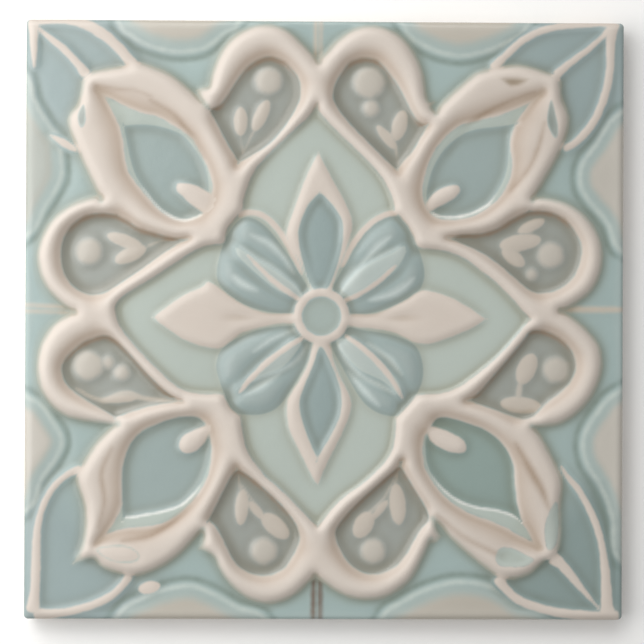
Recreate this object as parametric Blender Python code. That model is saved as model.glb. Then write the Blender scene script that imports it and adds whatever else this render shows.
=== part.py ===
"""Printed floral tile: one square of fired clay with a low pressed pattern on its face.

The tile lies flat with its face up. Its origin is the centre of its flat back, +Z up, +Y towards the
pattern's top. Sizes here are in millimetres, and MM turns them into Blender's metres.
"""
import bmesh
import bpy
import numpy as np

MM = 0.001

# The body, a 6 inch tile
SIDE = 152.4
BODY_THICKNESS = 7.0
CORNER_RADIUS = 1.1
RIM_ROUNDING = 1.1
BACK_CHAMFER = 0.4

# Levels of the pressed pattern, above the ground of the face (BODY_THICKNESS over the back)
FRAME_HEIGHT = 1.5
HOLLOW_RIM_HEIGHT = 0.5
LENS_RIM_HEIGHT = 0.22
LENS_DEPTH = 0.2
TONGUE_HEIGHT = 0.55
OPENING_DEPTH = 0.5
BEAD_RISE = 0.65
SPRIG_LEAF_RISE = 0.42
FIELD_HEIGHT = 0.05
CREAM_PETAL_RISE = 0.75
CORNER_PETAL_RISE = 1.0
FLOWER_UNDER_FRAME = 0.6
DISC_HEIGHT = 0.62
RING_FOOT, RING_RISE = 0.45, 0.6
LEAF_LINE_HEIGHT = 0.55
BLOB_HEIGHT = 0.5
SWELL_HEIGHT = 0.4

# Marks on the petals: how deep or high they are, and how wide
HEART_DEPTH, HEART_EDGE = 0.6, 1.3
HEART_SWELL, HEART_SWELL_WIDTH = 0.25, 4.0
FOLD_GROOVE_DEPTH, FOLD_GROOVE_OFFSET, FOLD_GROOVE_WIDTH = 0.4, 1.4, 1.3
FOLD_LIP_RISE, FOLD_LIP_EDGE = 0.25, 1.0
CREASE_DEPTH, CREASE_WIDTH, CREASE_Y = 0.4, 1.3, -0.4
CREASE_START, CREASE_FULL, CREASE_FADE, CREASE_END = 6.0, 10.0, 20.0, 28.0

# Widths over which forms round over or sink
RIM_FADE = 2.0
LENS_EDGE = 0.9
TONGUE_EDGE = 1.8
OPENING_EDGE = 1.4
BEAD_EDGE = 3.4
SPRIG_LEAF_EDGE = 1.6
CREAM_PETAL_EDGE = 1.5
CORNER_PETAL_EDGE = 5.0
LEAF_LINE_EDGE, LEAF_LINE_FOOT = 1.3, 0.2
BLOB_EDGE = 1.6
SWELL_EDGE, SWELL_FOOT = 5.0, 1.0
GROUND_EDGE = 2.0

# Slopes of the frame: their share of the band they lie in, and the widest they get
OUTER_SLOPE_SHARE, OUTER_SLOPE_LEAST, OUTER_SLOPE_MOST = 0.38, 0.3, 2.4
FIELD_SLOPE = 1.1
OPENING_SLOPE_SHARE, OPENING_SLOPE_MOST = 0.48, 5.5
SHARE_ADDED_BESIDE_BUD = 0.14
BUD_SLOPE_SHARE, BUD_SLOPE_MOST = 0.62, 7.0

# The rosette's middle
ROSETTE_X, ROSETTE_Y = -0.85, 1.0
RING_RADIUS = 6.0
RING_HALF_WIDTH = 1.1

# The face is pressed on a fine grid, then thinned to a modest number of triangles
GRID_CELLS = 156
RIM_ROWS = (0.0, 0.3, 0.7)
FIRST_EVEN_ROW = 1.6
ALL_TRIANGLES = 8200
CURVE_STEPS = 5
SHARP_DEGREES = 40

# How far from an outline its distance is still measured, and a length too small to matter
REACH = 14.0
TINY = 1e-6

# Outlines of the pattern in x, y from the tile's middle. A smooth curve passes through the points, and
# a point given twice is a sharp corner.
MINT_FIELD = [
    (-2.2, 54.6), (-2.2, 54.6), (-5, 51), (-11.5, 45), (-17.8, 38), (-20.6, 31), (-21.1, 28),
    (-24.3, 23.8), (-25.3, 21.5), (-26, 19.4), (-32, 18), (-43, 11), (-52, 5), (-52.7, 0.5), (-50, -4.5),
    (-43, -12), (-35.5, -18), (-25.6, -18.9), (-25.6, -18.9), (-23.8, -22.4), (-21.3, -24.5),
    (-21.3, -24.5), (-19.5, -33), (-15, -39.5), (-11, -43), (-3, -51), (-1.4, -52), (-1.4, -52),
    (4, -45.7), (9, -42), (13.5, -38), (16, -35), (17.5, -31.5), (18.2, -24.7), (18.2, -24.7),
    (23.2, -19.2), (23.2, -19.2), (24.5, -18.7), (28, -18.6), (32, -17.7), (36, -15.5), (44, -9),
    (51, -1), (51.9, 0.7), (51.9, 0.7), (45, 8.3), (37, 14.7), (33, 16.9), (29, 17.9), (25, 18.3),
    (25, 18.3), (23.4, 19), (22.4, 21.5), (20.9, 24), (19, 26.3), (19, 26.3), (17.5, 27.8), (17.1, 30.5),
    (13, 38), (-0.3, 51.2),
]
FRAME_OUTSIDE = [
    (-2.1, 66.2), (-2.1, 66.2), (-8.5, 72.6), (-12.5, 74.7), (-16.5, 75), (-20, 74), (-24, 71.5),
    (-27, 67.5), (-28.8, 63), (-29.7, 59.3), (-31.2, 58.8), (-32.6, 58.2), (-32.6, 58.2), (-31.8, 56.2),
    (-30.4, 54.4), (-30.4, 54.4), (-34, 58), (-40, 62.5), (-48.5, 65.6), (-50.5, 64.6), (-58.5, 63),
    (-61.5, 61), (-62, 58.5), (-63, 54.5), (-65.2, 48.8), (-57.6, 31.4), (-57.6, 31.4), (-63, 29.7),
    (-67, 27.3), (-70, 24.3), (-72.2, 20), (-73, 16), (-72.3, 11.5), (-70.6, 8), (-68, 5), (-64, 1.8),
    (-64, 1.8), (-68, -0.7), (-70.4, -3.4), (-72.2, -7), (-73, -12), (-72.3, -17), (-70, -21),
    (-67, -23.7), (-63, -25.4), (-53.2, -26.7), (-53.2, -26.7), (-58, -31.5), (-62, -38), (-62.8, -41),
    (-60.8, -48), (-61, -56), (-63.2, -61.6), (-63.2, -61.6), (-58.6, -60.6), (-56.5, -62.6),
    (-54, -63.8), (-50.3, -64.8), (-47.5, -65), (-44, -64), (-40, -62), (-36, -59), (-31, -53.6),
    (-31, -53.6), (-30.5, -55), (-31.4, -58.1), (-31.4, -58.1), (-28, -60), (-26.6, -63), (-24.5, -66.2),
    (-21.5, -69.2), (-18, -71.2), (-14, -72), (-10, -71.2), (-6.5, -69.2), (-4, -66.8), (-2, -65.2),
    (-2, -65.2), (3.5, -69), (7.5, -70.6), (12, -71), (16, -70.2), (20, -67.8), (23, -64.5), (27, -56.1),
    (27, -56.1), (28.5, -56.2), (29.6, -54.8), (29.6, -54.8), (28.6, -53), (27.9, -50.5), (27.9, -50.5),
    (30, -52.5), (33, -56), (41, -62.8), (46, -65.6), (52, -64.5), (55.8, -61.2), (57.8, -60.6),
    (59.3, -59), (60.2, -55), (60.2, -47.3), (60.7, -41.5), (59.5, -37.5), (55.3, -29.5), (53, -26.8),
    (53, -26.8), (56, -26.8), (60, -26.1), (64, -23.7), (67.5, -20), (69.8, -15.5), (70.7, -11),
    (70, -6.5), (67.5, -3), (64, 0.2), (60.4, 2.6), (60.4, 2.6), (64, 4.6), (67.5, 7.3), (69.7, 11),
    (70.7, 15.5), (70.3, 20), (68.5, 24), (65.5, 27.5), (61.5, 30), (57, 31.2), (53.3, 31.5),
    (53.3, 31.5), (59.7, 43), (62, 51), (60.2, 57), (59.6, 62.5), (57.5, 63), (49, 65.2), (40, 63.7),
    (36.5, 61.7), (30, 55.8), (28, 53), (28, 53), (26.8, 54.2), (27.4, 55.6), (27.4, 55.6), (25.8, 56.3),
    (24.7, 63), (22.5, 68), (19.5, 71.8), (15.5, 74.2), (11, 75), (7, 74), (3, 71.3), (0, 68),
]
DROP_OPENINGS = {
    "top_left": [(-22, 40), (-22, 40), (-25, 45), (-29.4, 53.2), (-29.4, 53.2), (-27.2, 54.3),
        (-25.5, 56.2), (-22, 61.6), (-19.5, 64.5), (-16.5, 66.3), (-14, 66.8), (-11, 65.8), (-8.5, 63.6),
        (-6.8, 61), (-6.4, 57.5), (-7.3, 54.5), (-9.5, 50.5), (-12.5, 46.5), (-16, 43.5)],
    "top_right": [(18.3, 38.4), (18.3, 38.4), (15.5, 40.7), (4.5, 52), (1.9, 58), (5, 64.3), (8, 66.3),
        (11, 66.6), (14, 65.3), (18.5, 59.5), (22.3, 52.2), (24.5, 50), (25.8, 49.5), (25.8, 49.5),
        (22, 43), (20.2, 41)],
    "left_upper": [(-35.2, 20.3), (-35.2, 20.3), (-39, 20.7), (-47, 23), (-50, 24.8), (-53, 26.4),
        (-53, 26.4), (-57, 26.8), (-61, 26), (-64.5, 23.5), (-66.5, 20), (-67, 16), (-66.3, 12),
        (-64.5, 9), (-61.5, 6.8), (-58.5, 6.2), (-55, 7.2), (-51.5, 9.5), (-47, 12.5), (-39, 18.3)],
    "left_lower": [(-36.8, -20.6), (-36.8, -20.6), (-40, -18.5), (-44, -14.8), (-53.5, -5),
        (-59.5, -5.2), (-63.5, -7.8), (-66.3, -11), (-66.5, -14), (-65, -17), (-61.5, -19.8),
        (-53, -24.8), (-53, -24.8), (-45, -22.1)],
    "bottom_left": [(-22, -38), (-22, -38), (-24.2, -40.8), (-29.2, -50.8), (-29.2, -50.8),
        (-27.4, -52.6), (-26, -55), (-22.8, -61.2), (-19.6, -63.9), (-15.6, -64.9), (-11.9, -64.1),
        (-9, -61.6), (-6.2, -55), (-9.7, -48.3), (-17.4, -41)],
    "bottom_right": [(19.3, -36.9), (19.3, -36.9), (9, -46), (3.4, -52.5), (3.2, -55.8), (4.8, -59.4),
        (7.2, -62.4), (10.4, -64.2), (14, -64.4), (17.4, -63), (20.4, -60.2), (24.2, -53.6), (26.6, -51),
        (26.6, -51), (25.9, -47.8)],
    "right_lower": [(36.8, -20.3), (36.8, -20.3), (40, -17.5), (50, -5.5), (52, -2.9), (54.5, -2.4),
        (58, -3.4), (61.3, -5.7), (63.5, -8.8), (63.9, -12), (62.4, -15.6), (59.7, -18.4), (56.3, -21),
        (53.2, -24.2), (53.2, -24.2), (50, -24.8), (42, -22.1)],
    "right_upper": [(31.8, 20.9), (31.8, 20.9), (35, 21.8), (40, 22.2), (44, 23.5), (48, 26), (52, 27.9),
        (52, 27.9), (57, 27.7), (61, 25.8), (63.8, 22.5), (65.3, 18.5), (64.6, 14), (62.4, 10.3),
        (59, 8), (55.5, 7.2), (52, 8), (45, 13.8), (41, 16.7), (37, 18.7)],
}
BUD_HOLLOWS = {
    "top_left": [(-58.3, 58.3), (-58.3, 58.3), (-55, 57), (-51, 55), (-46, 53), (-42, 52), (-34.5, 47.5),
        (-32, 44.5), (-28.5, 37), (-28.1, 31.3), (-31, 26.3), (-34, 24.8), (-37.5, 24.5), (-41, 26),
        (-44.5, 29), (-50, 36), (-51.5, 40), (-52.8, 48), (-56.6, 55.6)],
    "top_right": [(54.6, 57.6), (54.6, 57.6), (47, 54.2), (43, 52.8), (35, 50.8), (31, 48.3), (28, 45),
        (26, 41.5), (24.5, 37), (23.9, 32.5), (24.8, 28.8), (27, 26), (30, 25), (34, 25), (38, 26),
        (42, 28.3), (45.3, 31.5), (47.5, 35.5), (48.3, 40), (47.8, 45), (48.7, 49), (50.3, 52)],
    "bottom_left": [(-58, -56.8), (-58, -56.8), (-55.5, -53.5), (-52.8, -49), (-51.7, -44.5),
        (-51.6, -39), (-51, -34), (-48.8, -29.8), (-46, -27.2), (-42, -25.6), (-37, -24.4), (-30.3, -25),
        (-28, -31.5), (-28, -36), (-29.3, -41), (-32, -45.5), (-35.5, -49.3), (-40, -52), (-45, -53.3),
        (-50, -53.6), (-54, -54.8)],
    "bottom_right": [(54.8, -57.8), (54.8, -57.8), (52.7, -53.5), (50, -49), (48.8, -44.5), (48.6, -39),
        (47.8, -34.5), (45, -30.3), (41, -27), (36, -25), (31, -24.2), (28, -24.6), (27, -26.8),
        (24.8, -29), (24.2, -33), (24.8, -37.5), (27.3, -42), (31, -46), (36, -49.3), (45, -52.8),
        (49.5, -55.3)],
}
BUD_LENSES = {
    "top_left": [(-51.2, 49.1), (-51.2, 49.1), (-47, 49.4), (-43, 49.1), (-39, 48), (-35.5, 46),
        (-31.2, 40), (-29.7, 34), (-30.8, 27.6), (-35, 25.4), (-38, 25.8), (-41, 27.5), (-44, 30.5),
        (-48.5, 37.5)],
    "top_right": [(48.7, 50.4), (48.7, 50.4), (46, 49.7), (38, 48.6), (34, 46.8), (30.5, 43.8), (28, 40),
        (26.5, 36), (25.8, 31.5), (26.8, 28.2), (28.5, 26.8), (32, 26.4), (36, 27), (39.5, 28.5),
        (42.5, 31), (46, 38), (47, 48)],
    "bottom_left": [(-51, -50.2), (-51, -50.2), (-51.2, -39), (-50.2, -34), (-48, -30), (-44.5, -27.6),
        (-40, -25.6), (-35, -24.6), (-31.8, -25), (-30, -27.5), (-28.9, -31), (-29.3, -36), (-31, -41),
        (-34, -45), (-38, -47.8), (-47, -49.8)],
    "bottom_right": [(50.2, -50.7), (50.2, -50.7), (49, -46), (48.5, -41), (48, -36.5), (46, -32.2),
        (42.5, -28.8), (38, -26.6), (29.5, -24.6), (26.5, -28.5), (25.8, -32), (26.5, -37), (29, -41.3),
        (33, -45), (38, -47.2), (43, -48), (47, -49)],
}
BUD_TONGUES = {
    "top_left": [(-37.9, 33.8), (-37, 34.8), (-32.5, 33.9), (-28, 30.8), (-30.6, 27), (-37, 31.9)],
    "top_right": [(34.3, 33.3), (33.5, 34.5), (31, 34.3), (28.3, 33), (26.5, 31.3), (25.6, 29.2),
        (26.6, 27.8), (28.5, 28.8), (31, 30), (33.5, 31.7)],
    "bottom_left": [(-36.9, -32.3), (-36.3, -30), (-34, -28.4), (-29, -26.6), (-29.3, -29), (-31, -32),
        (-33.5, -33.8), (-35.8, -33.8)],
    "bottom_right": [(36, -33.2), (36, -31.4), (34.5, -29.6), (28.5, -27), (26.3, -27.3), (26.5, -29.8),
        (28.5, -31.8), (31.5, -33.3), (34.3, -33.7)],
}
CREAM_PETALS = {
    "top": [(-1.8, 42.6), (-1.8, 42.6), (-4.5, 37.5), (-8, 28), (-9.8, 21), (-6, 14), (-4.2, 10),
        (-3.2, 6), (-0.8, 4), (1.5, 6.5), (2.5, 10.5), (6.8, 23), (5.5, 29), (2, 35.5)],
    "bottom": [(-1.5, -41.8), (-1.5, -41.8), (-3, -40), (-6.5, -33), (-8.5, -29), (-9.5, -25),
        (-9.5, -21), (-8.5, -18.5), (-6, -14.5), (-4, -10.5), (-3, -6), (-0.8, -2), (1.3, -6),
        (2.2, -10), (4, -14.5), (6.8, -20.5), (5.5, -26.5), (0, -38)],
    "left": [(-43.5, 0.6), (-43.5, 0.6), (-37, 5.5), (-31, 8.5), (-29, 9.5), (-21, 4), (-14.5, 1.8),
        (-8, 1.6), (-4, 0.8), (-8, -0.9), (-12, -1), (-19.5, -2.8), (-22, -4), (-26, -7), (-29, -7.2),
        (-35, -5.5), (-41, -1.6)],
    "right": [(41, 0.4), (41, 0.4), (37, 3.2), (33, 5.5), (29, 7), (25.5, 7.7), (23, 7), (21, 5.5),
        (15, 2.5), (11.5, 1.6), (6.5, 1.5), (3, 0.6), (6, -1.4), (16.5, -2.8), (25, -6), (35, -3)],
}
PETAL_HEARTS = {
    "top": [(-1.5, 32.4), (-1.5, 32.4), (-5, 28), (-6.8, 20.5), (-3.4, 8.5), (0.5, 8), (3.8, 16.5),
        (4.5, 23), (3.8, 26.5), (0.2, 31.1)],
    "bottom": [(-1.8, -35.1), (-1.8, -35.1), (-4, -30), (-5.5, -26), (-6.2, -22.5), (-6, -19),
        (-3, -11.5), (-1, -6.8), (2, -12), (4.2, -19), (3.5, -25.5)],
}
CORNER_PETALS = {
    "top_left": [(-4.2, 7.6), (-7, 12.5), (-9.5, 16.5), (-15, 23.5), (-20, 26), (-24, 22.8), (-26.8, 16),
        (-27, 9.5), (-21.5, 4.5), (-14, 2.1), (-7.5, 2), (-5.5, 4.5)],
    "top_right": [(2, 7.8), (4.5, 13), (7, 18), (9.5, 21.8), (12.5, 24.8), (17.8, 26.8), (21.8, 22.5),
        (23, 19.5), (24.3, 16.5), (25.2, 12.5), (24.8, 9.5), (23.2, 7.2), (18, 4), (11.5, 1.9), (6.3, 2),
        (4.5, 5)],
    "bottom_left": [(-7.5, -1.6), (-16, -2.4), (-23, -5.2), (-26, -7.5), (-27.2, -10), (-27.2, -13.5),
        (-24.5, -21), (-22.5, -23.3), (-20, -24), (-16, -23.9), (-12.5, -22.5), (-9.8, -19.5),
        (-5, -11.5), (-3.3, -6.5), (-5.2, -3.8)],
    "bottom_right": [(5.8, -2), (10, -2.6), (18, -4), (23.4, -7), (25, -13.5), (23, -19.3),
        (18.8, -23.8), (15.5, -24), (12, -22.5), (9, -19.5), (4.6, -12), (2, -7), (2.2, -4.4)],
}
PETAL_FOLDS = {
    "top_left": [(-23, 18.4), (-23, 18.4), (-20.5, 17.3), (-8.5, 9.5), (-5.8, 5.6), (-11, 7), (-15, 9.7),
        (-21.5, 15.5)],
    "top_right": [(3.9, 7.4), (9.5, 13.3), (17, 17.2), (20, 19), (20.6, 17.5), (20.6, 17.5),
        (19.3, 14.8), (17, 12), (9.5, 7), (6, 5.8)],
    "bottom_left": [(-6.3, -4.6), (-9, -5.6), (-16, -11.3), (-21.9, -17.3), (-21.9, -17.3),
        (-16.5, -14.5), (-10.5, -11.8), (-6.3, -6.7)],
    "bottom_right": [(3, -6.2), (4.4, -4.6), (8, -5.6), (12, -8.3), (18, -14.6), (19.6, -18),
        (19.8, -20), (19.8, -20), (15, -15.6), (8.5, -12.3)],
}
SWELLS = {
    "top_left": [(-55, 88), (-52.5, 75.2), (-49, 71.8), (-45, 69.6), (-38, 68), (-31, 69), (-26, 72.8),
        (-22, 76), (-21, 88)],
    "top_right": [(17, 88), (20, 74.5), (25, 70), (32, 67.6), (38, 68), (45, 70.5), (51, 75), (53, 88)],
    "left_upper": [(-88, 66), (-76.5, 62), (-74, 55.5), (-70.5, 49.5), (-67.8, 46), (-67.2, 42),
        (-67, 38.5), (-67.4, 35), (-71.3, 28), (-75.2, 21.7), (-88, 18)],
    "left_lower": [(-88, -18), (-74, -20.5), (-69, -26), (-66.6, -31), (-68.6, -36), (-72, -41),
        (-75, -48), (-88, -52)],
    "bottom_left": [(-56, -88), (-52, -75), (-46, -70.8), (-40, -68.5), (-34, -67.6), (-28, -69.6),
        (-22, -73), (-15, -76), (-12, -88)],
    "bottom_right": [(12, -88), (15, -75.5), (20, -71.6), (26, -68.5), (33, -66.6), (40, -67),
        (45.5, -69), (50, -72), (57, -74.8), (62, -88)],
    "right_upper": [(88, 56), (75, 53), (69, 45), (65.5, 40), (65, 35), (67, 31), (72, 25), (75.6, 18),
        (88, 17)],
    "right_lower": [(88, -16), (75, -18), (69, -24), (66, -30), (66.8, -36), (70.5, -42), (73.5, -50),
        (75, -60), (88, -64)],
}
# Raised lines of the corner leaves: half width, x and y
LEAF_LINES = {
    "leaf_top_left_upper": [(1.5, -74.5, 76.3), (1.4, -66, 76.1), (1.5, -61, 74.8), (1.6, -57, 72.6),
        (1.5, -53.5, 69.8), (1.5, -50.5, 66.5), (1.6, -48.8, 64)],
    "leaf_top_left_edge": [(1.4, -74.3, 76), (1.3, -74.2, 72), (1, -74.1, 68), (0.5, -74, 64)],
    "vein_top_left": [(0.5, -73.3, 74), (0.9, -70, 71.3), (1.1, -66.5, 68.5), (1.1, -63.5, 65.4),
        (1.3, -60.8, 62)],
    "stroke_top_left": [(0.3, -69.8, 46.6), (1.1, -67, 45), (1, -65, 43.8), (0.5, -63, 42.6)],
    "leaf_top_right_upper": [(1.2, 42.5, 64.3), (1.1, 45.5, 67.3), (1.1, 49, 70.6), (1.1, 52, 72.6),
        (1.1, 55.5, 74.2), (1.1, 60, 75.2), (1, 65, 75.6), (1.1, 70, 76), (1.2, 74, 76)],
    "vein_top_right": [(1.2, 58.6, 62.6), (1.1, 61, 64.8), (1, 64, 67.1), (0.9, 67, 69.4),
        (0.8, 70, 72.1), (0.9, 72.5, 74.8)],
    "leaf_top_right_right": [(1.6, 73.4, 76.2), (1.5, 72.7, 73), (1.3, 72.5, 69), (1.2, 72.4, 64.5),
        (1.2, 71.7, 60), (1.2, 70.5, 55.8), (1.2, 68.6, 51.4), (1.2, 66, 47.8), (1.1, 63.3, 45.3),
        (0.9, 60.7, 43.8)],
    "leaf_bottom_right_right": [(0.4, 60.3, -37), (0.8, 62, -39.6), (1, 64.5, -42.6), (1, 66.6, -46),
        (1.1, 68.5, -49.8), (1.1, 70, -54), (1.1, 71, -58.5), (1.3, 71.6, -63), (1.5, 71.9, -67.5),
        (1.7, 72.1, -72), (2.2, 72.5, -76)],
    "vein_bottom_right": [(1.6, 58, -60), (1.5, 60.5, -62), (1.3, 63, -64.8), (1, 65.6, -68),
        (0.6, 68.2, -71), (0.3, 70.6, -73.6)],
    "leaf_bottom_right_lower": [(1.5, 44.3, -65.2), (1.3, 46.2, -68), (1.3, 49, -70.6),
        (1.3, 52.5, -72.2), (1.3, 56.5, -73.4), (1.4, 61, -74.4), (1.5, 66, -74.9), (1.6, 70.5, -75.3),
        (1.8, 75, -75.5)],
    "leaf_bottom_left_left": [(1, -61.8, -37.8), (1, -65, -39.4), (1, -68, -41.9), (1, -70.3, -45.3),
        (1, -71.8, -49), (1.1, -72.6, -53), (1.3, -72.9, -58), (1.4, -73, -63.5), (1.4, -73.2, -69),
        (1.7, -73.8, -74)],
    "leaf_bottom_left_lower": [(1.1, -49.2, -64.8), (1.1, -51.3, -67.7), (1.2, -54, -70.2),
        (1.2, -58, -72.2), (1.2, -62.5, -73.6), (1.3, -67.5, -74.6), (1.8, -73, -75.2)],
}
# Raised lips of the folded leaves on the corner petals: half width, x and y
FOLD_LIPS = [
    [(0.3, -19.5, 16.2), (0.6, -15.8, 12.4), (0.75, -12.4, 9.3), (0.7, -9.2, 7.0), (0.5, -6.2, 5.0)],
    [(0.5, 5, 5), (0.65, 9, 6.8), (0.65, 13.5, 9.8), (0.4, 17.6, 13.6)],
    [(0.5, -5.8, -4.6), (0.75, -10, -7.2), (0.85, -14.6, -10.8), (0.7, -18.6, -14.8), (0.4, -21.4, -18.2)],
    [(0.5, 5.6, -4.2), (0.75, 9.8, -7.2), (0.85, 13.8, -11), (0.7, 17, -15), (0.4, 19.6, -19.4)],
]
# Sprigs in the drop openings: x, y, half length, half width and turn in degrees
SPRIG_LEAVES = [
    (-21.6, 50.5, 3.9, 1.9, 90), (-16.5, 52, 4.5, 1.9, 65), (-51, 20, 4.9, 1.8, -18),
    (-49.5, 16.5, 4.5, 2.1, 25), (15.5, 46.7, 4, 1.5, -50), (18.8, 49.6, 4.2, 2.1, 75),
    (49.8, 20, 5.6, 2.3, 9), (48, 16.2, 3.6, 2, -36), (52.5, 24.2, 4, 1.6, 25),
    (-20.9, -47.6, 4.8, 1.9, 86), (-12.4, -52.4, 4.6, 2.5, -42), (-17.2, -48.4, 3.2, 1.3, -48),
    (18.7, -46.8, 5.5, 2.3, 95), (10.1, -52, 3.9, 2.6, 60), (14.2, -48.2, 3.2, 1.2, 50),
    (51.5, -12.2, 4.4, 2.6, 65), (50, -21.4, 5.4, 2.3, -6), (-52, -20.2, 5, 1.2, 4),
]
# Beads in the drop openings: x, y and radius
BEADS = [
    (-14.5, 60.8, 3.9), (-60, 17.2, 3.8), (11, 60.5, 4.4), (11.5, 54, 2.5), (57.5, 16.8, 3.8),
    (52.7, 12, 1.9), (-15.2, -58.7, 3.8), (-60, -11.8, 4.2), (-55, -11, 2), (-51.5, -13.5, 2.4),
    (12.5, -58.7, 3.6), (59, -12.4, 3.8),
]
# A small blob on the ground near the bottom: x, y, half length, half width and turn
BLOB = (-44.3, -68, 2.9, 1.6, 12)


def clear_scene():
    for leftover in list(bpy.data.objects):
        bpy.data.objects.remove(leftover)


def glaze():
    material = bpy.data.materials.new("clear_glaze_over_colour")
    material.use_nodes = True
    shader = material.node_tree.nodes["Principled BSDF"]
    shader.inputs["Base Color"].default_value = (0.50, 0.52, 0.48, 1.0)
    shader.inputs["Roughness"].default_value = 0.3
    shader.inputs["Metallic"].default_value = 0.0
    return material


def smooth_curve(points, closed):
    """Points of a Catmull-Rom curve through the given ones, which may carry a width before x and y."""
    given = np.array(points, float)
    count = len(given)
    curve = []
    for i in range(count if closed else count - 1):
        a, b, c, d = (given[(i + k) % count] if closed else given[min(max(i + k, 0), count - 1)]
                      for k in (-1, 0, 1, 2))
        for t in np.arange(CURVE_STEPS) / CURVE_STEPS:
            cubic = 2 * b + (c - a) * t + (2 * a - 5 * b + 4 * c - d) * t**2 + (3 * b - a - 3 * c + d) * t**3
            curve.append(cubic / 2)
    if not closed:
        curve.append(given[-1])
    return np.array(curve)


def near(places, curve):
    """Which places lie within reach of a curve."""
    return np.all((places > curve.min(axis=0) - REACH) & (places < curve.max(axis=0) + REACH), axis=1)


def from_segment(places, start, end):
    """Each place's distance to a straight segment, and how far along it the nearest point is."""
    run = end - start
    along = np.clip((places - start) @ run / max(run @ run, TINY), 0, 1)
    gap = places - start - along[:, None] * run
    return np.hypot(gap[:, 0], gap[:, 1]), along


def depth_in(places, outlines):
    """Distance to the edge of the nearest outline, positive inside it and negative outside."""
    deepest = np.full(len(places), -REACH)
    for points in outlines:
        loop = smooth_curve(points, True)
        close = near(places, loop)
        p = places[close]
        gap = np.full(len(p), REACH)
        inside = np.zeros(len(p), bool)
        for start, end in zip(loop, np.roll(loop, -1, axis=0)):
            gap = np.minimum(gap, from_segment(p, start, end)[0])
            if start[1] != end[1]:
                spans = (start[1] > p[:, 1]) != (end[1] > p[:, 1])
                crossing = start[0] + (p[:, 1] - start[1]) * (end[0] - start[0]) / (end[1] - start[1])
                inside ^= spans & (p[:, 0] < crossing)
        deepest[close] = np.maximum(deepest[close], np.where(inside, gap, -gap))
    return deepest


def depth_in_lines(places, lines):
    """How deep each place lies in a line's width, negative beside it."""
    deepest = np.full(len(places), -REACH)
    for points in lines:
        path = smooth_curve(points, False)
        close = near(places, path[:, 1:])
        p = places[close]
        depth = deepest[close]
        for start, end in zip(path[:-1], path[1:]):
            gap, along = from_segment(p, start[1:], end[1:])
            depth = np.maximum(depth, start[0] + (end[0] - start[0]) * along - gap)
        deepest[close] = depth
    return deepest


def depth_in_ovals(places, ovals):
    """How deep each place lies in the nearest oval, out of its half width."""
    deepest = np.full(len(places), -REACH)
    for x, y, half_length, half_width, turn in ovals:
        cosine, sine = np.cos(np.radians(turn)), np.sin(np.radians(turn))
        across, up = places[:, 0] - x, places[:, 1] - y
        u, v = across * cosine + up * sine, up * cosine - across * sine
        deepest = np.maximum(deepest, (1 - np.hypot(u / half_length, v / half_width)) * half_width)
    return deepest


def ease(depth, width):
    """A soft step from 0 to 1 over a width."""
    t = np.clip(depth / width, 0, 1)
    return t * t * (3 - 2 * t)


def roll(depth, width):
    """A quarter round from 0 to 1 over a width."""
    return np.sqrt(1 - (1 - np.clip(depth / width, 0, 1))**2)


def climb(depth, width):
    """A slope from 0 to 1 over a width, level at its top."""
    return np.sin(np.pi / 2 * np.clip(depth / width, 0, 1))


def bump(depth, width):
    """A soft ridge, 1 where the depth is 0."""
    return np.exp(-(depth / width)**2)


def frame_relief(outer, inner, opening, hollow):
    """The cream frame from its distances to the ground, the mint field, an opening and a bud.

    It is steep beside the field, rounded outside, and slopes gently into each opening or bud.
    """
    outer, inner, opening, hollow = (np.maximum(gap, 0) for gap in (outer, inner, opening, hollow))
    edge = np.minimum(outer, inner)
    beside_bud = hollow / (hollow + edge + TINY)
    share = OPENING_SLOPE_SHARE + SHARE_ADDED_BESIDE_BUD * beside_bud
    slope = np.minimum(OPENING_SLOPE_MOST, share * (opening + np.minimum(edge, hollow)) + TINY)
    into_opening = climb(opening, slope)
    slope = np.minimum(BUD_SLOPE_MOST, BUD_SLOPE_SHARE * (hollow + np.minimum(edge, opening)) + TINY)
    into_bud = climb(hollow, slope)
    low = HOLLOW_RIM_HEIGHT / FRAME_HEIGHT
    slope = OUTER_SLOPE_SHARE * (edge + np.minimum(opening, hollow)) + OUTER_SLOPE_LEAST
    rise = climb(outer, np.minimum(OUTER_SLOPE_MOST, slope)) * climb(inner, FIELD_SLOPE)
    return FRAME_HEIGHT * rise * into_opening * (low + (1 - low) * into_bud)


def bud_relief(hollow, lens):
    """Inside a bud: a mint slope and a sunk flat lens."""
    outside_lens, inside_hollow = np.maximum(-lens, 0), np.maximum(hollow, 0)
    share = outside_lens / (outside_lens + inside_hollow + TINY)
    height = LENS_RIM_HEIGHT + (HOLLOW_RIM_HEIGHT - LENS_RIM_HEIGHT) * ease(share, 1)
    return height - (LENS_RIM_HEIGHT + LENS_DEPTH) * ease(lens, LENS_EDGE)


def opening_relief(opening, bead, leaf):
    """Inside a drop: a sunk floor with a bead and a sprig on it."""
    floor = -OPENING_DEPTH * ease(opening, OPENING_EDGE)
    leaf_rise = SPRIG_LEAF_RISE * roll(leaf, SPRIG_LEAF_EDGE)
    return floor + np.maximum(BEAD_RISE * roll(bead, BEAD_EDGE), leaf_rise)


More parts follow.
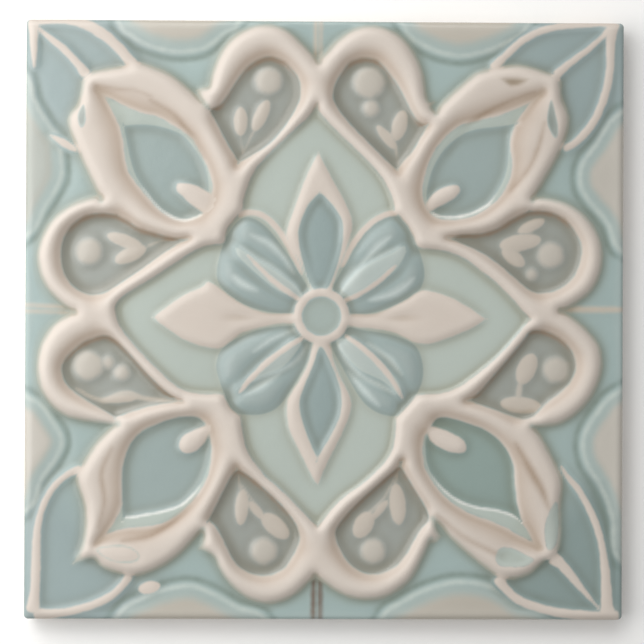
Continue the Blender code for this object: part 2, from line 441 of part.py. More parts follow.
def rosette_relief(places, cream_petal, heart, corner_petal, fold, lip):
    """Four cream petals and four corner petals around a ringed disc, or -REACH off the flower."""
    x, y = places[:, 0] - ROSETTE_X, places[:, 1] - ROSETTE_Y
    crease = CREASE_DEPTH * bump(y - CREASE_Y, CREASE_WIDTH)
    crease = crease * ease(np.abs(x) - CREASE_START, CREASE_FULL - CREASE_START)
    crease = crease * (1 - ease(np.abs(x) - CREASE_FADE, CREASE_END - CREASE_FADE))
    cream = FIELD_HEIGHT + CREAM_PETAL_RISE * roll(cream_petal, CREAM_PETAL_EDGE)
    cream = cream - np.where(np.abs(x) > np.abs(y), crease, 0)
    cream = cream - HEART_DEPTH * ease(heart, HEART_EDGE) + HEART_SWELL * ease(heart, HEART_SWELL_WIDTH)
    flower = np.where(cream_petal > 0, cream, -REACH)
    blue = FIELD_HEIGHT + CORNER_PETAL_RISE * climb(corner_petal, CORNER_PETAL_EDGE)
    blue = blue - FOLD_GROOVE_DEPTH * bump(fold + FOLD_GROOVE_OFFSET, FOLD_GROOVE_WIDTH)
    blue = blue + FOLD_LIP_RISE * ease(lip, FOLD_LIP_EDGE)
    flower = np.maximum(flower, np.where(corner_petal > 0, blue, -REACH))
    radius = np.hypot(x, y)
    flower = np.where(radius < RING_RADIUS, DISC_HEIGHT, flower)
    across = np.clip((radius - RING_RADIUS) / RING_HALF_WIDTH, -1, 1)
    ring = RING_FOOT + RING_RISE * np.sqrt(1 - across**2)
    return np.where(np.abs(across) < 1, np.maximum(flower, ring), flower)


def face_heights(places):
    """Height of the face above its ground at each place."""
    field = depth_in(places, [MINT_FIELD])
    outside = depth_in(places, [FRAME_OUTSIDE])
    opening = depth_in(places, DROP_OPENINGS.values())
    hollow = depth_in(places, BUD_HOLLOWS.values())
    lens = depth_in(places, BUD_LENSES.values())
    tongue = depth_in(places, BUD_TONGUES.values())
    petal = depth_in(places, CORNER_PETALS.values())
    edge = np.minimum(outside, -field)
    height = np.where(edge > 0, frame_relief(outside, -field, -opening, -hollow), 0)
    height = np.where((hollow > 0) | (lens > 0), bud_relief(hollow, lens), height)
    height = np.where(tongue > 0, np.maximum(height, TONGUE_HEIGHT * roll(tongue, TONGUE_EDGE)), height)
    bead = depth_in_ovals(places, [(x, y, radius, radius, 0) for x, y, radius in BEADS])
    leaf = depth_in_ovals(places, SPRIG_LEAVES)
    height = np.where(opening > 0, opening_relief(opening, bead, leaf), height)
    height = np.where(field > 0, FIELD_HEIGHT, height)
    flower = rosette_relief(places, depth_in(places, CREAM_PETALS.values()),
                            depth_in(places, PETAL_HEARTS.values()), petal,
                            depth_in(places, PETAL_FOLDS.values()), depth_in_lines(places, FOLD_LIPS))
    under_frame = np.maximum(flower, np.minimum(height, FLOWER_UNDER_FRAME))
    height = np.where((field > 0) | (petal > 0), under_frame, height)
    line = depth_in_lines(places, LEAF_LINES.values()) + LEAF_LINE_FOOT
    height = np.maximum(height, LEAF_LINE_HEIGHT * roll(line, LEAF_LINE_EDGE))
    height = np.maximum(height, BLOB_HEIGHT * roll(depth_in_ovals(places, [BLOB]), BLOB_EDGE) * (edge < 0))
    swell = SWELL_HEIGHT * ease(depth_in(places, SWELLS.values()) + SWELL_FOOT, SWELL_EDGE)
    height = height + swell * ease(np.minimum(-outside, -line), GROUND_EDGE)
    from_side = SIDE / 2 - np.abs(places).max(axis=1)
    return height * ease(from_side, RIM_FADE) - RIM_ROUNDING * (1 - roll(from_side, RIM_ROUNDING))


def stations():
    """Places of the grid's rows along one side: three close ones at each rolled edge, then even ones."""
    half = SIDE / 2
    rim = half - RIM_ROUNDING * np.array(RIM_ROWS)
    inner = half - FIRST_EVEN_ROW * RIM_ROUNDING
    return np.concatenate([-rim, np.linspace(-inner, inner, GRID_CELLS), rim[::-1]])


def rounded_corners(places):
    """Draw the square corners of the grid in to quarter circles."""
    centre = SIDE / 2 - CORNER_RADIUS
    beyond = np.maximum(np.abs(places) - centre, 0)
    reach = np.hypot(beyond[:, 0], beyond[:, 1])
    in_corner = np.all(beyond > 0, axis=1)
    scale = np.where(in_corner, beyond.max(axis=1) / np.maximum(reach, TINY), 1.0)
    drawn_in = np.sign(places) * (centre + beyond * scale[:, None])
    return np.where(in_corner[:, None], drawn_in, places)


def pressed_slab():
    """One closed mesh: the pressed face, upright sides, a small chamfer and the flat back."""
    rows = stations()
    count = len(rows)
    x, y = np.meshgrid(rows, rows)
    places = np.stack([x.ravel(), y.ravel()], axis=1)
    top = BODY_THICKNESS + face_heights(places)
    places = rounded_corners(places)
    slab = bmesh.new()
    verts = [slab.verts.new((px * MM, py * MM, z * MM)) for (px, py), z in zip(places, top)]
    for row in range(count - 1):
        for column in range(count - 1):
            corner = row * count + column
            slab.faces.new([verts[corner + step] for step in (0, 1, count + 1, count)])
    rim = [edge for edge in slab.edges if edge.is_boundary]
    for drop_to, draw_in in ((BACK_CHAMFER, 0.0), (0.0, BACK_CHAMFER)):
        made = bmesh.ops.extrude_edge_only(slab, edges=rim)["geom"]
        scale = 1 - 2 * draw_in / SIDE
        for vert in (item for item in made if isinstance(item, bmesh.types.BMVert)):
            vert.co = (vert.co.x * scale, vert.co.y * scale, drop_to * MM)
        rim = [item for item in made if isinstance(item, bmesh.types.BMEdge)]
    bmesh.ops.contextual_create(slab, geom=rim)
    bmesh.ops.triangulate(slab, faces=slab.faces)
    bmesh.ops.recalc_face_normals(slab, faces=slab.faces)
    return slab


def tile():
    slab = pressed_slab()
    mesh = bpy.data.meshes.new("tile")
    ratio = ALL_TRIANGLES / len(slab.faces)
    slab.to_mesh(mesh)
    slab.free()
    mesh.materials.append(glaze())
    body = bpy.data.objects.new("tile", mesh)
    bpy.context.scene.collection.objects.link(body)
    thin = body.modifiers.new("fewer_triangles", "DECIMATE")
    thin.ratio = ratio
    mesh.shade_smooth()
    mesh.set_sharp_from_angle(angle=np.radians(SHARP_DEGREES))
    return body


clear_scene()
tile()
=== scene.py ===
"""Printed floral tile, finished for its render: a pressed earthenware wall tile under pastel glazes."""

import bmesh
import bpy
import numpy as np
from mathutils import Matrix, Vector


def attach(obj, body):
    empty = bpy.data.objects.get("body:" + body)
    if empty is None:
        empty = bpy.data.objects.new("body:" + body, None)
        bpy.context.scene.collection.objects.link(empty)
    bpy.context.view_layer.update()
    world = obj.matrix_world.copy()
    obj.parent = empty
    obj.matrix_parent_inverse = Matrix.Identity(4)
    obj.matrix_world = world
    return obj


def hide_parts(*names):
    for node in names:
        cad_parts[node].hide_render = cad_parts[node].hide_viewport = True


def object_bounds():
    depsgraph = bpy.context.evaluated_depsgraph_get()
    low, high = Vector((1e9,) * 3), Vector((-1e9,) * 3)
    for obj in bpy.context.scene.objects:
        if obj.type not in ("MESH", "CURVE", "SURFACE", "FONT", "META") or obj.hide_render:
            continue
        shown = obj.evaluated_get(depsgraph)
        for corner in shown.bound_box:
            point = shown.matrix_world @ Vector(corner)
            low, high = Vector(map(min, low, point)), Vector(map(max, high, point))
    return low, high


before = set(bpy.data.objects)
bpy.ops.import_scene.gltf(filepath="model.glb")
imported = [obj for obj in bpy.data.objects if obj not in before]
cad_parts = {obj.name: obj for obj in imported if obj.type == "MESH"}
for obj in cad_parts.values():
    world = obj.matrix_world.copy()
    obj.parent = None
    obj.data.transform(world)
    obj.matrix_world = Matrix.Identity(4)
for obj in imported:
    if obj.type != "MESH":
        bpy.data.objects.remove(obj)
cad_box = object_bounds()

scene = bpy.context.scene

# Camera
# It hangs over the tile that lies face up, and looks straight down on it, a hair askew as in the
# photograph, through a long lens.
LENS = 85.0
CAMERA_PLACE = (-0.00581, -0.00150, 0.39361)
CAMERA_TILT = (0.1501, -0.7542, 0.2434)

camera_data = bpy.data.cameras.new("straight_down_camera")
camera_data.lens = LENS
camera = bpy.data.objects.new("straight_down_camera", camera_data)
camera.location = CAMERA_PLACE
camera.rotation_euler = [np.radians(angle) for angle in CAMERA_TILT]
scene.collection.objects.link(camera)
scene.camera = camera
scene.view_settings.view_transform = "Standard"

# Blank of the tile
# The real piece is one slab of fine earthenware, dust pressed in a steel die, 152 mm square. Here is
# its face as an even grid, ready to be pressed. Outlines and depths are in millimetres.
MM = 0.001
half_side = cad_box[1][0] / MM
body_thickness = 7.0
rim_rounding = 1.1
corner_radius = 1.1
back_chamfer = 0.4
face_cells = 290
# Rows near each side, and the first of the even ones, in rim roundings from the side
close_rows = np.array([0.0, 0.2, 0.5, 0.85])
first_even_row = 1.4


def face_rows():
    """Places of the grid's rows: a few close ones at each rolled edge, then even ones."""
    rim = half_side - rim_rounding * close_rows
    inner = half_side - rim_rounding * first_even_row
    even_rows = face_cells + 1 - 2 * len(close_rows)
    return np.concatenate([-rim, np.linspace(-inner, inner, even_rows), rim[::-1]])


def flat_face():
    """The grid as a mesh, its places in x and y, and how many rows it has."""
    rows = face_rows()
    x, y = np.meshgrid(rows, rows)
    places = np.stack([x.ravel(), y.ravel(), np.zeros(x.size)], axis=1)
    count = len(rows)
    corner = np.arange((count - 1) * count).reshape(count - 1, count)[:, :-1].ravel()
    quads = np.stack([corner, corner + 1, corner + count + 1, corner + count], axis=1)
    mesh = bpy.data.meshes.new("glazed_tile")
    mesh.from_pydata((places * MM).tolist(), [], quads.tolist())
    return mesh, places[:, :2], count


flat_mesh, places, row_count = flat_face()
face = bpy.data.objects.new("glazed_tile", flat_mesh)
scene.collection.objects.link(face)

# How far outside an outline its distance is still told, and how near it a point counts as inside
REACH = 14.0
TOUCHING = 0.002
# Places on a curve from one given point to the next, how near two of them count as one, and the
# places round an oval
CURVE_STEPS = 6
SAME_PLACE = 1e-4
OVAL_POINTS = 12


def add_node(tree, kind, links=(), **settings):
    """Add a node; settings are its properties, links are (input, socket or value) pairs."""
    node = tree.nodes.new(kind)
    for name, value in settings.items():
        setattr(node, name, value)
    for name, source in links:
        if isinstance(source, bpy.types.NodeSocket):
            tree.links.new(source, node.inputs[name])
        else:
            node.inputs[name].default_value = source
    return node


def depth_tree():
    """Nodes that measure how deep each point lies inside an outline, and keep the deepest measure."""
    tree = bpy.data.node_groups.new("depth_in_outline", "GeometryNodeTree")
    socket = tree.interface.new_socket
    socket("Geometry", in_out="INPUT", socket_type="NodeSocketGeometry")
    socket("Outline", in_out="INPUT", socket_type="NodeSocketObject")
    socket("Depth name", in_out="INPUT", socket_type="NodeSocketString")
    socket("Finish", in_out="INPUT", socket_type="NodeSocketMaterial")
    socket("Geometry", in_out="OUTPUT", socket_type="NodeSocketGeometry")
    given = add_node(tree, "NodeGroupInput").outputs
    outline = add_node(tree, "GeometryNodeObjectInfo", [("Object", given["Outline"])]).outputs["Geometry"]
    region = add_node(tree, "GeometryNodeFillCurve", [(0, outline)]).outputs[0]
    edge = add_node(tree, "GeometryNodeCurveToMesh", [(0, outline)]).outputs[0]
    from_edge = add_node(tree, "GeometryNodeProximity", [(0, edge)], target_element="EDGES")
    from_region = add_node(tree, "GeometryNodeProximity", [(0, region)], target_element="FACES")
    inside = add_node(tree, "ShaderNodeMath", [(0, from_region.outputs["Distance"]), (1, TOUCHING * MM)],
                      operation="LESS_THAN").outputs[0]
    # 1 inside the outline and -1 outside it
    sign = add_node(tree, "ShaderNodeMath", [(0, inside), (1, 2.0), (2, -1.0)],
                    operation="MULTIPLY_ADD").outputs[0]
    depth = add_node(tree, "ShaderNodeMath", [(0, from_edge.outputs["Distance"]), (1, sign)],
                     operation="MULTIPLY").outputs[0]
    before = add_node(tree, "GeometryNodeInputNamedAttribute", [("Name", given["Depth name"])])
    deepest = add_node(tree, "ShaderNodeMath", [(0, before.outputs["Attribute"]), (1, depth)],
                       operation="MAXIMUM").outputs[0]
    stored = add_node(tree, "GeometryNodeStoreNamedAttribute",
                      [("Geometry", given["Geometry"]), ("Name", given["Depth name"]), ("Value", deepest)])
    real = add_node(tree, "GeometryNodeRealizeInstances", [(0, stored.outputs[0])])
    finished = add_node(tree, "GeometryNodeSetMaterial",
                        [("Geometry", real.outputs[0]), ("Material", given["Finish"])])
    add_node(tree, "NodeGroupOutput", [("Geometry", finished.outputs[0])])
    return tree


measuring = depth_tree()
inputs_of_measuring = {item.name: item.identifier for item in measuring.interface.items_tree
                       if item.in_out == "INPUT"}
glaze = bpy.data.materials.new("pastel_glaze_on_earthenware")


def outline_curve(points):
    """A closed Catmull-Rom curve through given points; a point given twice is a sharp corner."""
    given = np.array(points, float)
    steps = np.arange(CURVE_STEPS)[:, None] / CURVE_STEPS
    a, b, c, d = (np.roll(given, shift, axis=0)[:, None] for shift in (1, 0, -1, -2))
    cubic = 2 * b + (c - a) * steps + (2 * a - 5 * b + 4 * c - d) * steps**2
    cubic = (cubic + (3 * b - a - 3 * c + d) * steps**3) / 2
    path = cubic.reshape(-1, 2)
    path = path[np.any(np.abs(path - np.roll(path, 1, axis=0)) > SAME_PLACE, axis=1)]
    data = bpy.data.curves.new("outline", "CURVE")
    data.dimensions = "3D"
    spline = data.splines.new("POLY")
    spline.points.add(len(path) - 1)
    corners = np.column_stack([path * MM, np.zeros(len(path)), np.ones(len(path))])
    spline.points.foreach_set("co", corners.ravel())
    spline.use_cyclic_u = True
    curve = bpy.data.objects.new("outline", data)
    scene.collection.objects.link(curve)
    return curve


def depth_in(name, outlines):
    """Depth of each place of the face in the nearest outline, in millimetres, negative outside."""
    stored = face.data.attributes.new(name, "FLOAT", "POINT")
    stored.data.foreach_set("value", np.full(len(places), -REACH * MM, dtype=np.float32))
    curves = [outline_curve(points) for points in outlines]
    for curve in curves:
        measure = face.modifiers.new("depth", "NODES")
        measure.node_group = measuring
        measure[inputs_of_measuring["Outline"]] = curve
        measure[inputs_of_measuring["Depth name"]] = name
        measure[inputs_of_measuring["Finish"]] = glaze
    evaluated = face.evaluated_get(bpy.context.evaluated_depsgraph_get())
    measured = bpy.data.meshes.new_from_object(evaluated)
    face.modifiers.clear()
    unmeasured, face.data = face.data, measured
    bpy.data.meshes.remove(unmeasured)
    for curve in curves:
        bpy.data.objects.remove(curve)
    depth = np.empty(len(places), dtype=np.float32)
    measured.attributes[name].data.foreach_get("value", depth)
    measured.attributes.remove(measured.attributes[name])
    return depth / MM


def ribbon(line):
    """The outline of a line whose points each give a half width, x and y."""
    path = np.array(line, float)
    along = np.gradient(path[:, 1:], axis=0)
    along /= np.linalg.norm(along, axis=1, keepdims=True)
    aside = np.stack([-along[:, 1], along[:, 0]], axis=1) * path[:, :1]
    return np.concatenate([path[:, 1:] + aside, (path[:, 1:] - aside)[::-1]]).tolist()


def oval(x, y, half_length, half_width, turn=0.0):
    """The outline of an oval, turned by an angle in degrees."""
    angle = np.linspace(0, 2 * np.pi, OVAL_POINTS, endpoint=False)
    u, v = half_length * np.cos(angle), half_width * np.sin(angle)
    cosine, sine = np.cos(np.radians(turn)), np.sin(np.radians(turn))
    return np.stack([x + u * cosine - v * sine, y + u * sine + v * cosine], axis=1).tolist()


def ease(depth, width):
    """A soft step from 0 to 1 over a width."""
    t = np.clip(depth / width, 0, 1)
    return t * t * (3 - 2 * t)


def roll(depth, width):
    """A quarter round from 0 to 1 over a width."""
    return np.sqrt(1 - (1 - np.clip(depth / width, 0, 1))**2)


def climb(depth, width):
    """A slope from 0 to 1 over a width, steep at its foot and level at its crest."""
    return np.sin(np.pi / 2 * np.clip(depth / width, 0, 1))


def bump(depth, width):
    """A soft ridge, 1 where the depth is 0."""
    return np.exp(-(depth / width)**2)


# Cream frame
# Eight drops and four buds join in one raised quatrefoil. It is pressed in the clay, steep outside with
# a rounded crest, and sprayed with a warm white glaze.
MINT_FIELD = [
    (-2.2, 54.6), (-2.2, 54.6), (-5, 51), (-11.5, 45), (-17.8, 38), (-20.6, 31), (-21.1, 28),
    (-24.3, 23.8), (-25.3, 21.5), (-26, 19.4), (-32, 18), (-43, 11), (-52, 5), (-52.7, 0.5), (-50, -4.5),
    (-43, -12), (-35.5, -18), (-25.6, -18.9), (-25.6, -18.9), (-23.8, -22.4), (-21.3, -24.5),
    (-21.3, -24.5), (-19.5, -33), (-15, -39.5), (-11, -43), (-3, -51), (-1.4, -52), (-1.4, -52),
    (4, -45.7), (9, -42), (13.5, -38), (16, -35), (17.5, -31.5), (18.2, -24.7), (18.2, -24.7),
    (23.2, -19.2), (23.2, -19.2), (24.5, -18.7), (28, -18.6), (32, -17.7), (36, -15.5), (44, -9),
    (51, -1), (51.9, 0.7), (51.9, 0.7), (45, 8.3), (37, 14.7), (33, 16.9), (29, 17.9), (25, 18.3),
    (25, 18.3), (23.4, 19), (22.4, 21.5), (20.9, 24), (19, 26.3), (19, 26.3), (17.5, 27.8), (17.1, 30.5),
    (13, 38), (-0.3, 51.2),
]
FRAME_OUTSIDE = [
    (-2.1, 66.2), (-2.1, 66.2), (-8.5, 72.6), (-12.5, 74.7), (-16.5, 75), (-20, 74), (-24, 71.5),
    (-27, 67.5), (-28.8, 63), (-29.7, 59.3), (-31.2, 58.8), (-32.6, 58.2), (-32.6, 58.2), (-31.8, 56.2),
    (-30.4, 54.4), (-30.4, 54.4), (-34, 58), (-40, 62.5), (-48.5, 65.6), (-50.5, 64.6), (-58.5, 63),
    (-61.5, 61), (-62, 58.5), (-63, 54.5), (-65.2, 48.8), (-57.6, 31.4), (-57.6, 31.4), (-63, 29.7),
    (-67, 27.3), (-70, 24.3), (-72.2, 20), (-73, 16), (-72.3, 11.5), (-70.6, 8), (-68, 5), (-64, 1.8),
    (-64, 1.8), (-68, -0.7), (-70.4, -3.4), (-72.2, -7), (-73, -12), (-72.3, -17), (-70, -21),
    (-67, -23.7), (-63, -25.4), (-53.2, -26.7), (-53.2, -26.7), (-58, -31.5), (-62, -38), (-62.8, -41),
    (-60.8, -48), (-61, -56), (-63.2, -61.6), (-63.2, -61.6), (-58.6, -60.6), (-56.5, -62.6),
    (-54, -63.8), (-50.3, -64.8), (-47.5, -65), (-44, -64), (-40, -62), (-36, -59), (-31, -53.6),
    (-31, -53.6), (-30.5, -55), (-31.4, -58.1), (-31.4, -58.1), (-28, -60), (-26.6, -63), (-24.5, -66.2),
    (-21.5, -69.2), (-18, -71.2), (-14, -72), (-10, -71.2), (-6.5, -69.2), (-4, -66.8), (-2, -65.2),
    (-2, -65.2), (3.5, -69), (7.5, -70.6), (12, -71), (16, -70.2), (20, -67.8), (23, -64.5), (27, -56.1),
    (27, -56.1), (28.5, -56.2), (29.6, -54.8), (29.6, -54.8), (28.6, -53), (27.9, -50.5), (27.9, -50.5),
    (30, -52.5), (33, -56), (41, -62.8), (46, -65.6), (52, -64.5), (55.8, -61.2), (57.8, -60.6),
    (59.3, -59), (60.2, -55), (60.2, -47.3), (60.7, -41.5), (59.5, -37.5), (55.3, -29.5), (53, -26.8),
    (53, -26.8), (56, -26.8), (60, -26.1), (64, -23.7), (67.5, -20), (69.8, -15.5), (70.7, -11),
    (70, -6.5), (67.5, -3), (64, 0.2), (60.4, 2.6), (60.4, 2.6), (64, 4.6), (67.5, 7.3), (69.7, 11),
    (70.7, 15.5), (70.3, 20), (68.5, 24), (65.5, 27.5), (61.5, 30), (57, 31.2), (53.3, 31.5),
    (53.3, 31.5), (59.7, 43), (62, 51), (60.2, 57), (59.6, 62.5), (57.5, 63), (49, 65.2), (40, 63.7),
    (36.5, 61.7), (30, 55.8), (28, 53), (28, 53), (26.8, 54.2), (27.4, 55.6), (27.4, 55.6), (25.8, 56.3),
    (24.7, 63), (22.5, 68), (19.5, 71.8), (15.5, 74.2), (11, 75), (7, 74), (3, 71.3), (0, 68),
]
# Openings of the eight drops
DROP_OPENINGS = {
    "top_left": [(-22, 40), (-22, 40), (-25, 45), (-29.4, 53.2), (-29.4, 53.2), (-27.2, 54.3),
        (-25.5, 56.2), (-22, 61.6), (-19.5, 64.5), (-16.5, 66.3), (-14, 66.8), (-11, 65.8), (-8.5, 63.6),
        (-6.8, 61), (-6.4, 57.5), (-7.3, 54.5), (-9.5, 50.5), (-12.5, 46.5), (-16, 43.5)],
    "top_right": [(18.3, 38.4), (18.3, 38.4), (15.5, 40.7), (4.5, 52), (1.9, 58), (5, 64.3), (8, 66.3),
        (11, 66.6), (14, 65.3), (18.5, 59.5), (22.3, 52.2), (24.5, 50), (25.8, 49.5), (25.8, 49.5),
        (22, 43), (20.2, 41)],
    "left_upper": [(-35.2, 20.3), (-35.2, 20.3), (-39, 20.7), (-47, 23), (-50, 24.8), (-53, 26.4),
        (-53, 26.4), (-57, 26.8), (-61, 26), (-64.5, 23.5), (-66.5, 20), (-67, 16), (-66.3, 12),
        (-64.5, 9), (-61.5, 6.8), (-58.5, 6.2), (-55, 7.2), (-51.5, 9.5), (-47, 12.5), (-39, 18.3)],
    "left_lower": [(-36.8, -20.6), (-36.8, -20.6), (-40, -18.5), (-44, -14.8), (-53.5, -5),
        (-59.5, -5.2), (-63.5, -7.8), (-66.3, -11), (-66.5, -14), (-65, -17), (-61.5, -19.8),
        (-53, -24.8), (-53, -24.8), (-45, -22.1)],
    "bottom_left": [(-22, -38), (-22, -38), (-24.2, -40.8), (-29.2, -50.8), (-29.2, -50.8),
        (-27.4, -52.6), (-26, -55), (-22.8, -61.2), (-19.6, -63.9), (-15.6, -64.9), (-11.9, -64.1),
        (-9, -61.6), (-6.2, -55), (-9.7, -48.3), (-17.4, -41)],
    "bottom_right": [(19.3, -36.9), (19.3, -36.9), (9, -46), (3.4, -52.5), (3.2, -55.8), (4.8, -59.4),
        (7.2, -62.4), (10.4, -64.2), (14, -64.4), (17.4, -63), (20.4, -60.2), (24.2, -53.6), (26.6, -51),
        (26.6, -51), (25.9, -47.8)],
    "right_lower": [(36.8, -20.3), (36.8, -20.3), (40, -17.5), (50, -5.5), (52, -2.9), (54.5, -2.4),
        (58, -3.4), (61.3, -5.7), (63.5, -8.8), (63.9, -12), (62.4, -15.6), (59.7, -18.4), (56.3, -21),
        (53.2, -24.2), (53.2, -24.2), (50, -24.8), (42, -22.1)],
    "right_upper": [(31.8, 20.9), (31.8, 20.9), (35, 21.8), (40, 22.2), (44, 23.5), (48, 26), (52, 27.9),
        (52, 27.9), (57, 27.7), (61, 25.8), (63.8, 22.5), (65.3, 18.5), (64.6, 14), (62.4, 10.3),
        (59, 8), (55.5, 7.2), (52, 8), (45, 13.8), (41, 16.7), (37, 18.7)],
}
BUD_HOLLOWS = {
    "top_left": [(-58.3, 58.3), (-58.3, 58.3), (-55, 57), (-51, 55), (-46, 53), (-42, 52), (-34.5, 47.5),
        (-32, 44.5), (-28.5, 37), (-28.1, 31.3), (-31, 26.3), (-34, 24.8), (-37.5, 24.5), (-41, 26),
        (-44.5, 29), (-50, 36), (-51.5, 40), (-52.8, 48), (-56.6, 55.6)],
    "top_right": [(54.6, 57.6), (54.6, 57.6), (47, 54.2), (43, 52.8), (35, 50.8), (31, 48.3), (28, 45),
        (26, 41.5), (24.5, 37), (23.9, 32.5), (24.8, 28.8), (27, 26), (30, 25), (34, 25), (38, 26),
        (42, 28.3), (45.3, 31.5), (47.5, 35.5), (48.3, 40), (47.8, 45), (48.7, 49), (50.3, 52)],
    "bottom_left": [(-58, -56.8), (-58, -56.8), (-55.5, -53.5), (-52.8, -49), (-51.7, -44.5),
        (-51.6, -39), (-51, -34), (-48.8, -29.8), (-46, -27.2), (-42, -25.6), (-37, -24.4), (-30.3, -25),
        (-28, -31.5), (-28, -36), (-29.3, -41), (-32, -45.5), (-35.5, -49.3), (-40, -52), (-45, -53.3),
        (-50, -53.6), (-54, -54.8)],
    "bottom_right": [(54.8, -57.8), (54.8, -57.8), (52.7, -53.5), (50, -49), (48.8, -44.5), (48.6, -39),
        (47.8, -34.5), (45, -30.3), (41, -27), (36, -25), (31, -24.2), (28, -24.6), (27, -26.8),
        (24.8, -29), (24.2, -33), (24.8, -37.5), (27.3, -42), (31, -46), (36, -49.3), (45, -52.8),
        (49.5, -55.3)],
}
frame_height = 1.5
hollow_rim_height = 0.5
# Width of the cream glaze that runs over into a bud's hollow
hollow_lip = 0.9
# Slopes of the frame: their share of the band they lie in, and the widest they get
outer_slope_share, outer_slope_least, outer_slope_most = 0.38, 0.3, 2.4
field_slope = 1.1
opening_slope_share, opening_slope_most = 0.48, 5.5
share_added_beside_bud = 0.14
bud_slope_share, bud_slope_most = 0.62, 7.0
# A length too small to matter, which keeps a division from failing
tiny = 1e-6

field = depth_in("field", [MINT_FIELD])
outside = depth_in("outside", [FRAME_OUTSIDE])
opening = depth_in("opening", DROP_OPENINGS.values())
hollow = depth_in("hollow", BUD_HOLLOWS.values())
edge = np.minimum(outside, -field)


def frame_relief():
    """The frame's height: steep beside the field, rounded outside, gentle towards openings and buds."""
    into_cream, from_opening, from_hollow = (np.maximum(depth, 0) for depth in (edge, -opening, -hollow))
    beside_bud = from_hollow / (from_hollow + into_cream + tiny)
    band = from_opening + np.minimum(into_cream, from_hollow)
    slope_share = opening_slope_share + share_added_beside_bud * beside_bud
    into_opening = climb(from_opening, np.minimum(opening_slope_most, slope_share * band + tiny))
    band = from_hollow + np.minimum(into_cream, from_opening)
    into_bud = climb(from_hollow, np.minimum(bud_slope_most, bud_slope_share * band + tiny))
    low = hollow_rim_height / frame_height
    band = into_cream + np.minimum(from_opening, from_hollow)
    foot = np.minimum(outer_slope_most, outer_slope_share * band + outer_slope_least)
    rise = climb(outside, foot) * climb(-field, field_slope)
    return frame_height * rise * into_opening * (low + (1 - low) * into_bud)


height = np.where(edge > 0, frame_relief(), 0.0)
mint_hollow = hollow - hollow_lip
cream = np.minimum(np.minimum(edge, -opening), -mint_hollow)
mint = np.maximum(field, mint_hollow)

# Buds
# Each corner bud is a hollow with a mint slope, a flat sunk lens of grey-blue glaze and a cream tongue.
# All are pressed with the frame, and soft creases and shallow marks are tooled in the band round them.
BUD_LENSES = {
    "top_left": [(-51.2, 49.1), (-51.2, 49.1), (-47, 49.4), (-43, 49.1), (-39, 48), (-35.5, 46),
        (-31.2, 40), (-29.7, 34), (-30.8, 27.6), (-35, 25.4), (-38, 25.8), (-41, 27.5), (-44, 30.5),
        (-48.5, 37.5)],
    "top_right": [(48.7, 50.4), (48.7, 50.4), (46, 49.7), (38, 48.6), (34, 46.8), (30.5, 43.8), (28, 40),
        (26.5, 36), (25.8, 31.5), (26.8, 28.2), (28.5, 26.8), (32, 26.4), (36, 27), (39.5, 28.5),
        (42.5, 31), (46, 38), (47, 48)],
    "bottom_left": [(-51, -50.2), (-51, -50.2), (-51.2, -39), (-50.2, -34), (-48, -30), (-44.5, -27.6),
        (-40, -25.6), (-35, -24.6), (-31.8, -25), (-30, -27.5), (-28.9, -31), (-29.3, -36), (-31, -41),
        (-34, -45), (-38, -47.8), (-47, -49.8)],
    "bottom_right": [(50.2, -50.7), (50.2, -50.7), (49, -46), (48.5, -41), (48, -36.5), (46, -32.2),
        (42.5, -28.8), (38, -26.6), (29.5, -24.6), (26.5, -28.5), (25.8, -32), (26.5, -37), (29, -41.3),
        (33, -45), (38, -47.2), (43, -48), (47, -49)],
}
BUD_TONGUES = {
    "top_left": [(-37.9, 33.8), (-37, 34.8), (-32.5, 33.9), (-28, 30.8), (-30.6, 27), (-37, 31.9)],
    "top_right": [(34.3, 33.3), (33.5, 34.5), (31, 34.3), (28.3, 33), (26.5, 31.3), (25.6, 29.2),
        (26.6, 27.8), (28.5, 28.8), (31, 30), (33.5, 31.7)],
    "bottom_left": [(-36.9, -32.3), (-36.3, -30), (-34, -28.4), (-29, -26.6), (-29.3, -29), (-31, -32),
        (-33.5, -33.8), (-35.8, -33.8)],
    "bottom_right": [(36, -33.2), (36, -31.4), (34.5, -29.6), (28.5, -27), (26.3, -27.3), (26.5, -29.8),
        (28.5, -31.8), (31.5, -33.3), (34.3, -33.7)],
}
# Shallow marks near a bud's tip: narrow windows in its band, and leaf-shaped pockets
BUD_WINDOWS = {
    "top_left": [(-61.3, 54.2), (-62.4, 52.5), (-62.6, 50.5), (-61.8, 48.6), (-61, 49.8), (-60.9, 52)],
    "top_right": [(57.3, 56), (56.6, 53.5), (56.4, 50.5), (57.3, 48), (58.6, 46.6), (58.9, 49.5),
        (58.2, 52.8)],
    "bottom_right_tip": [(43.6, -59.8), (44.7, -57.9), (47, -57.6), (50, -58.8), (53.2, -60.6),
        (51.5, -62), (48, -62.4), (44.6, -61.9)],
    "bottom_right": [(58.9, -46), (57.3, -48.5), (56.3, -51.5), (56.2, -55), (57, -58), (58.8, -57),
        (59.6, -53), (59.7, -49)],
}
BUD_POCKETS = {
    "top_right": [(43.8, 61.7), (46, 62.2), (49, 62.2), (52, 61.6), (50.5, 60), (48.5, 59.2),
        (46.3, 59.4)],
    "bottom_left": [(-57.5, -58.3), (-53.5, -57.4), (-49.5, -57.6), (-47, -59.3), (-47.3, -60.8),
        (-50, -61.4), (-54, -60.8)],
}
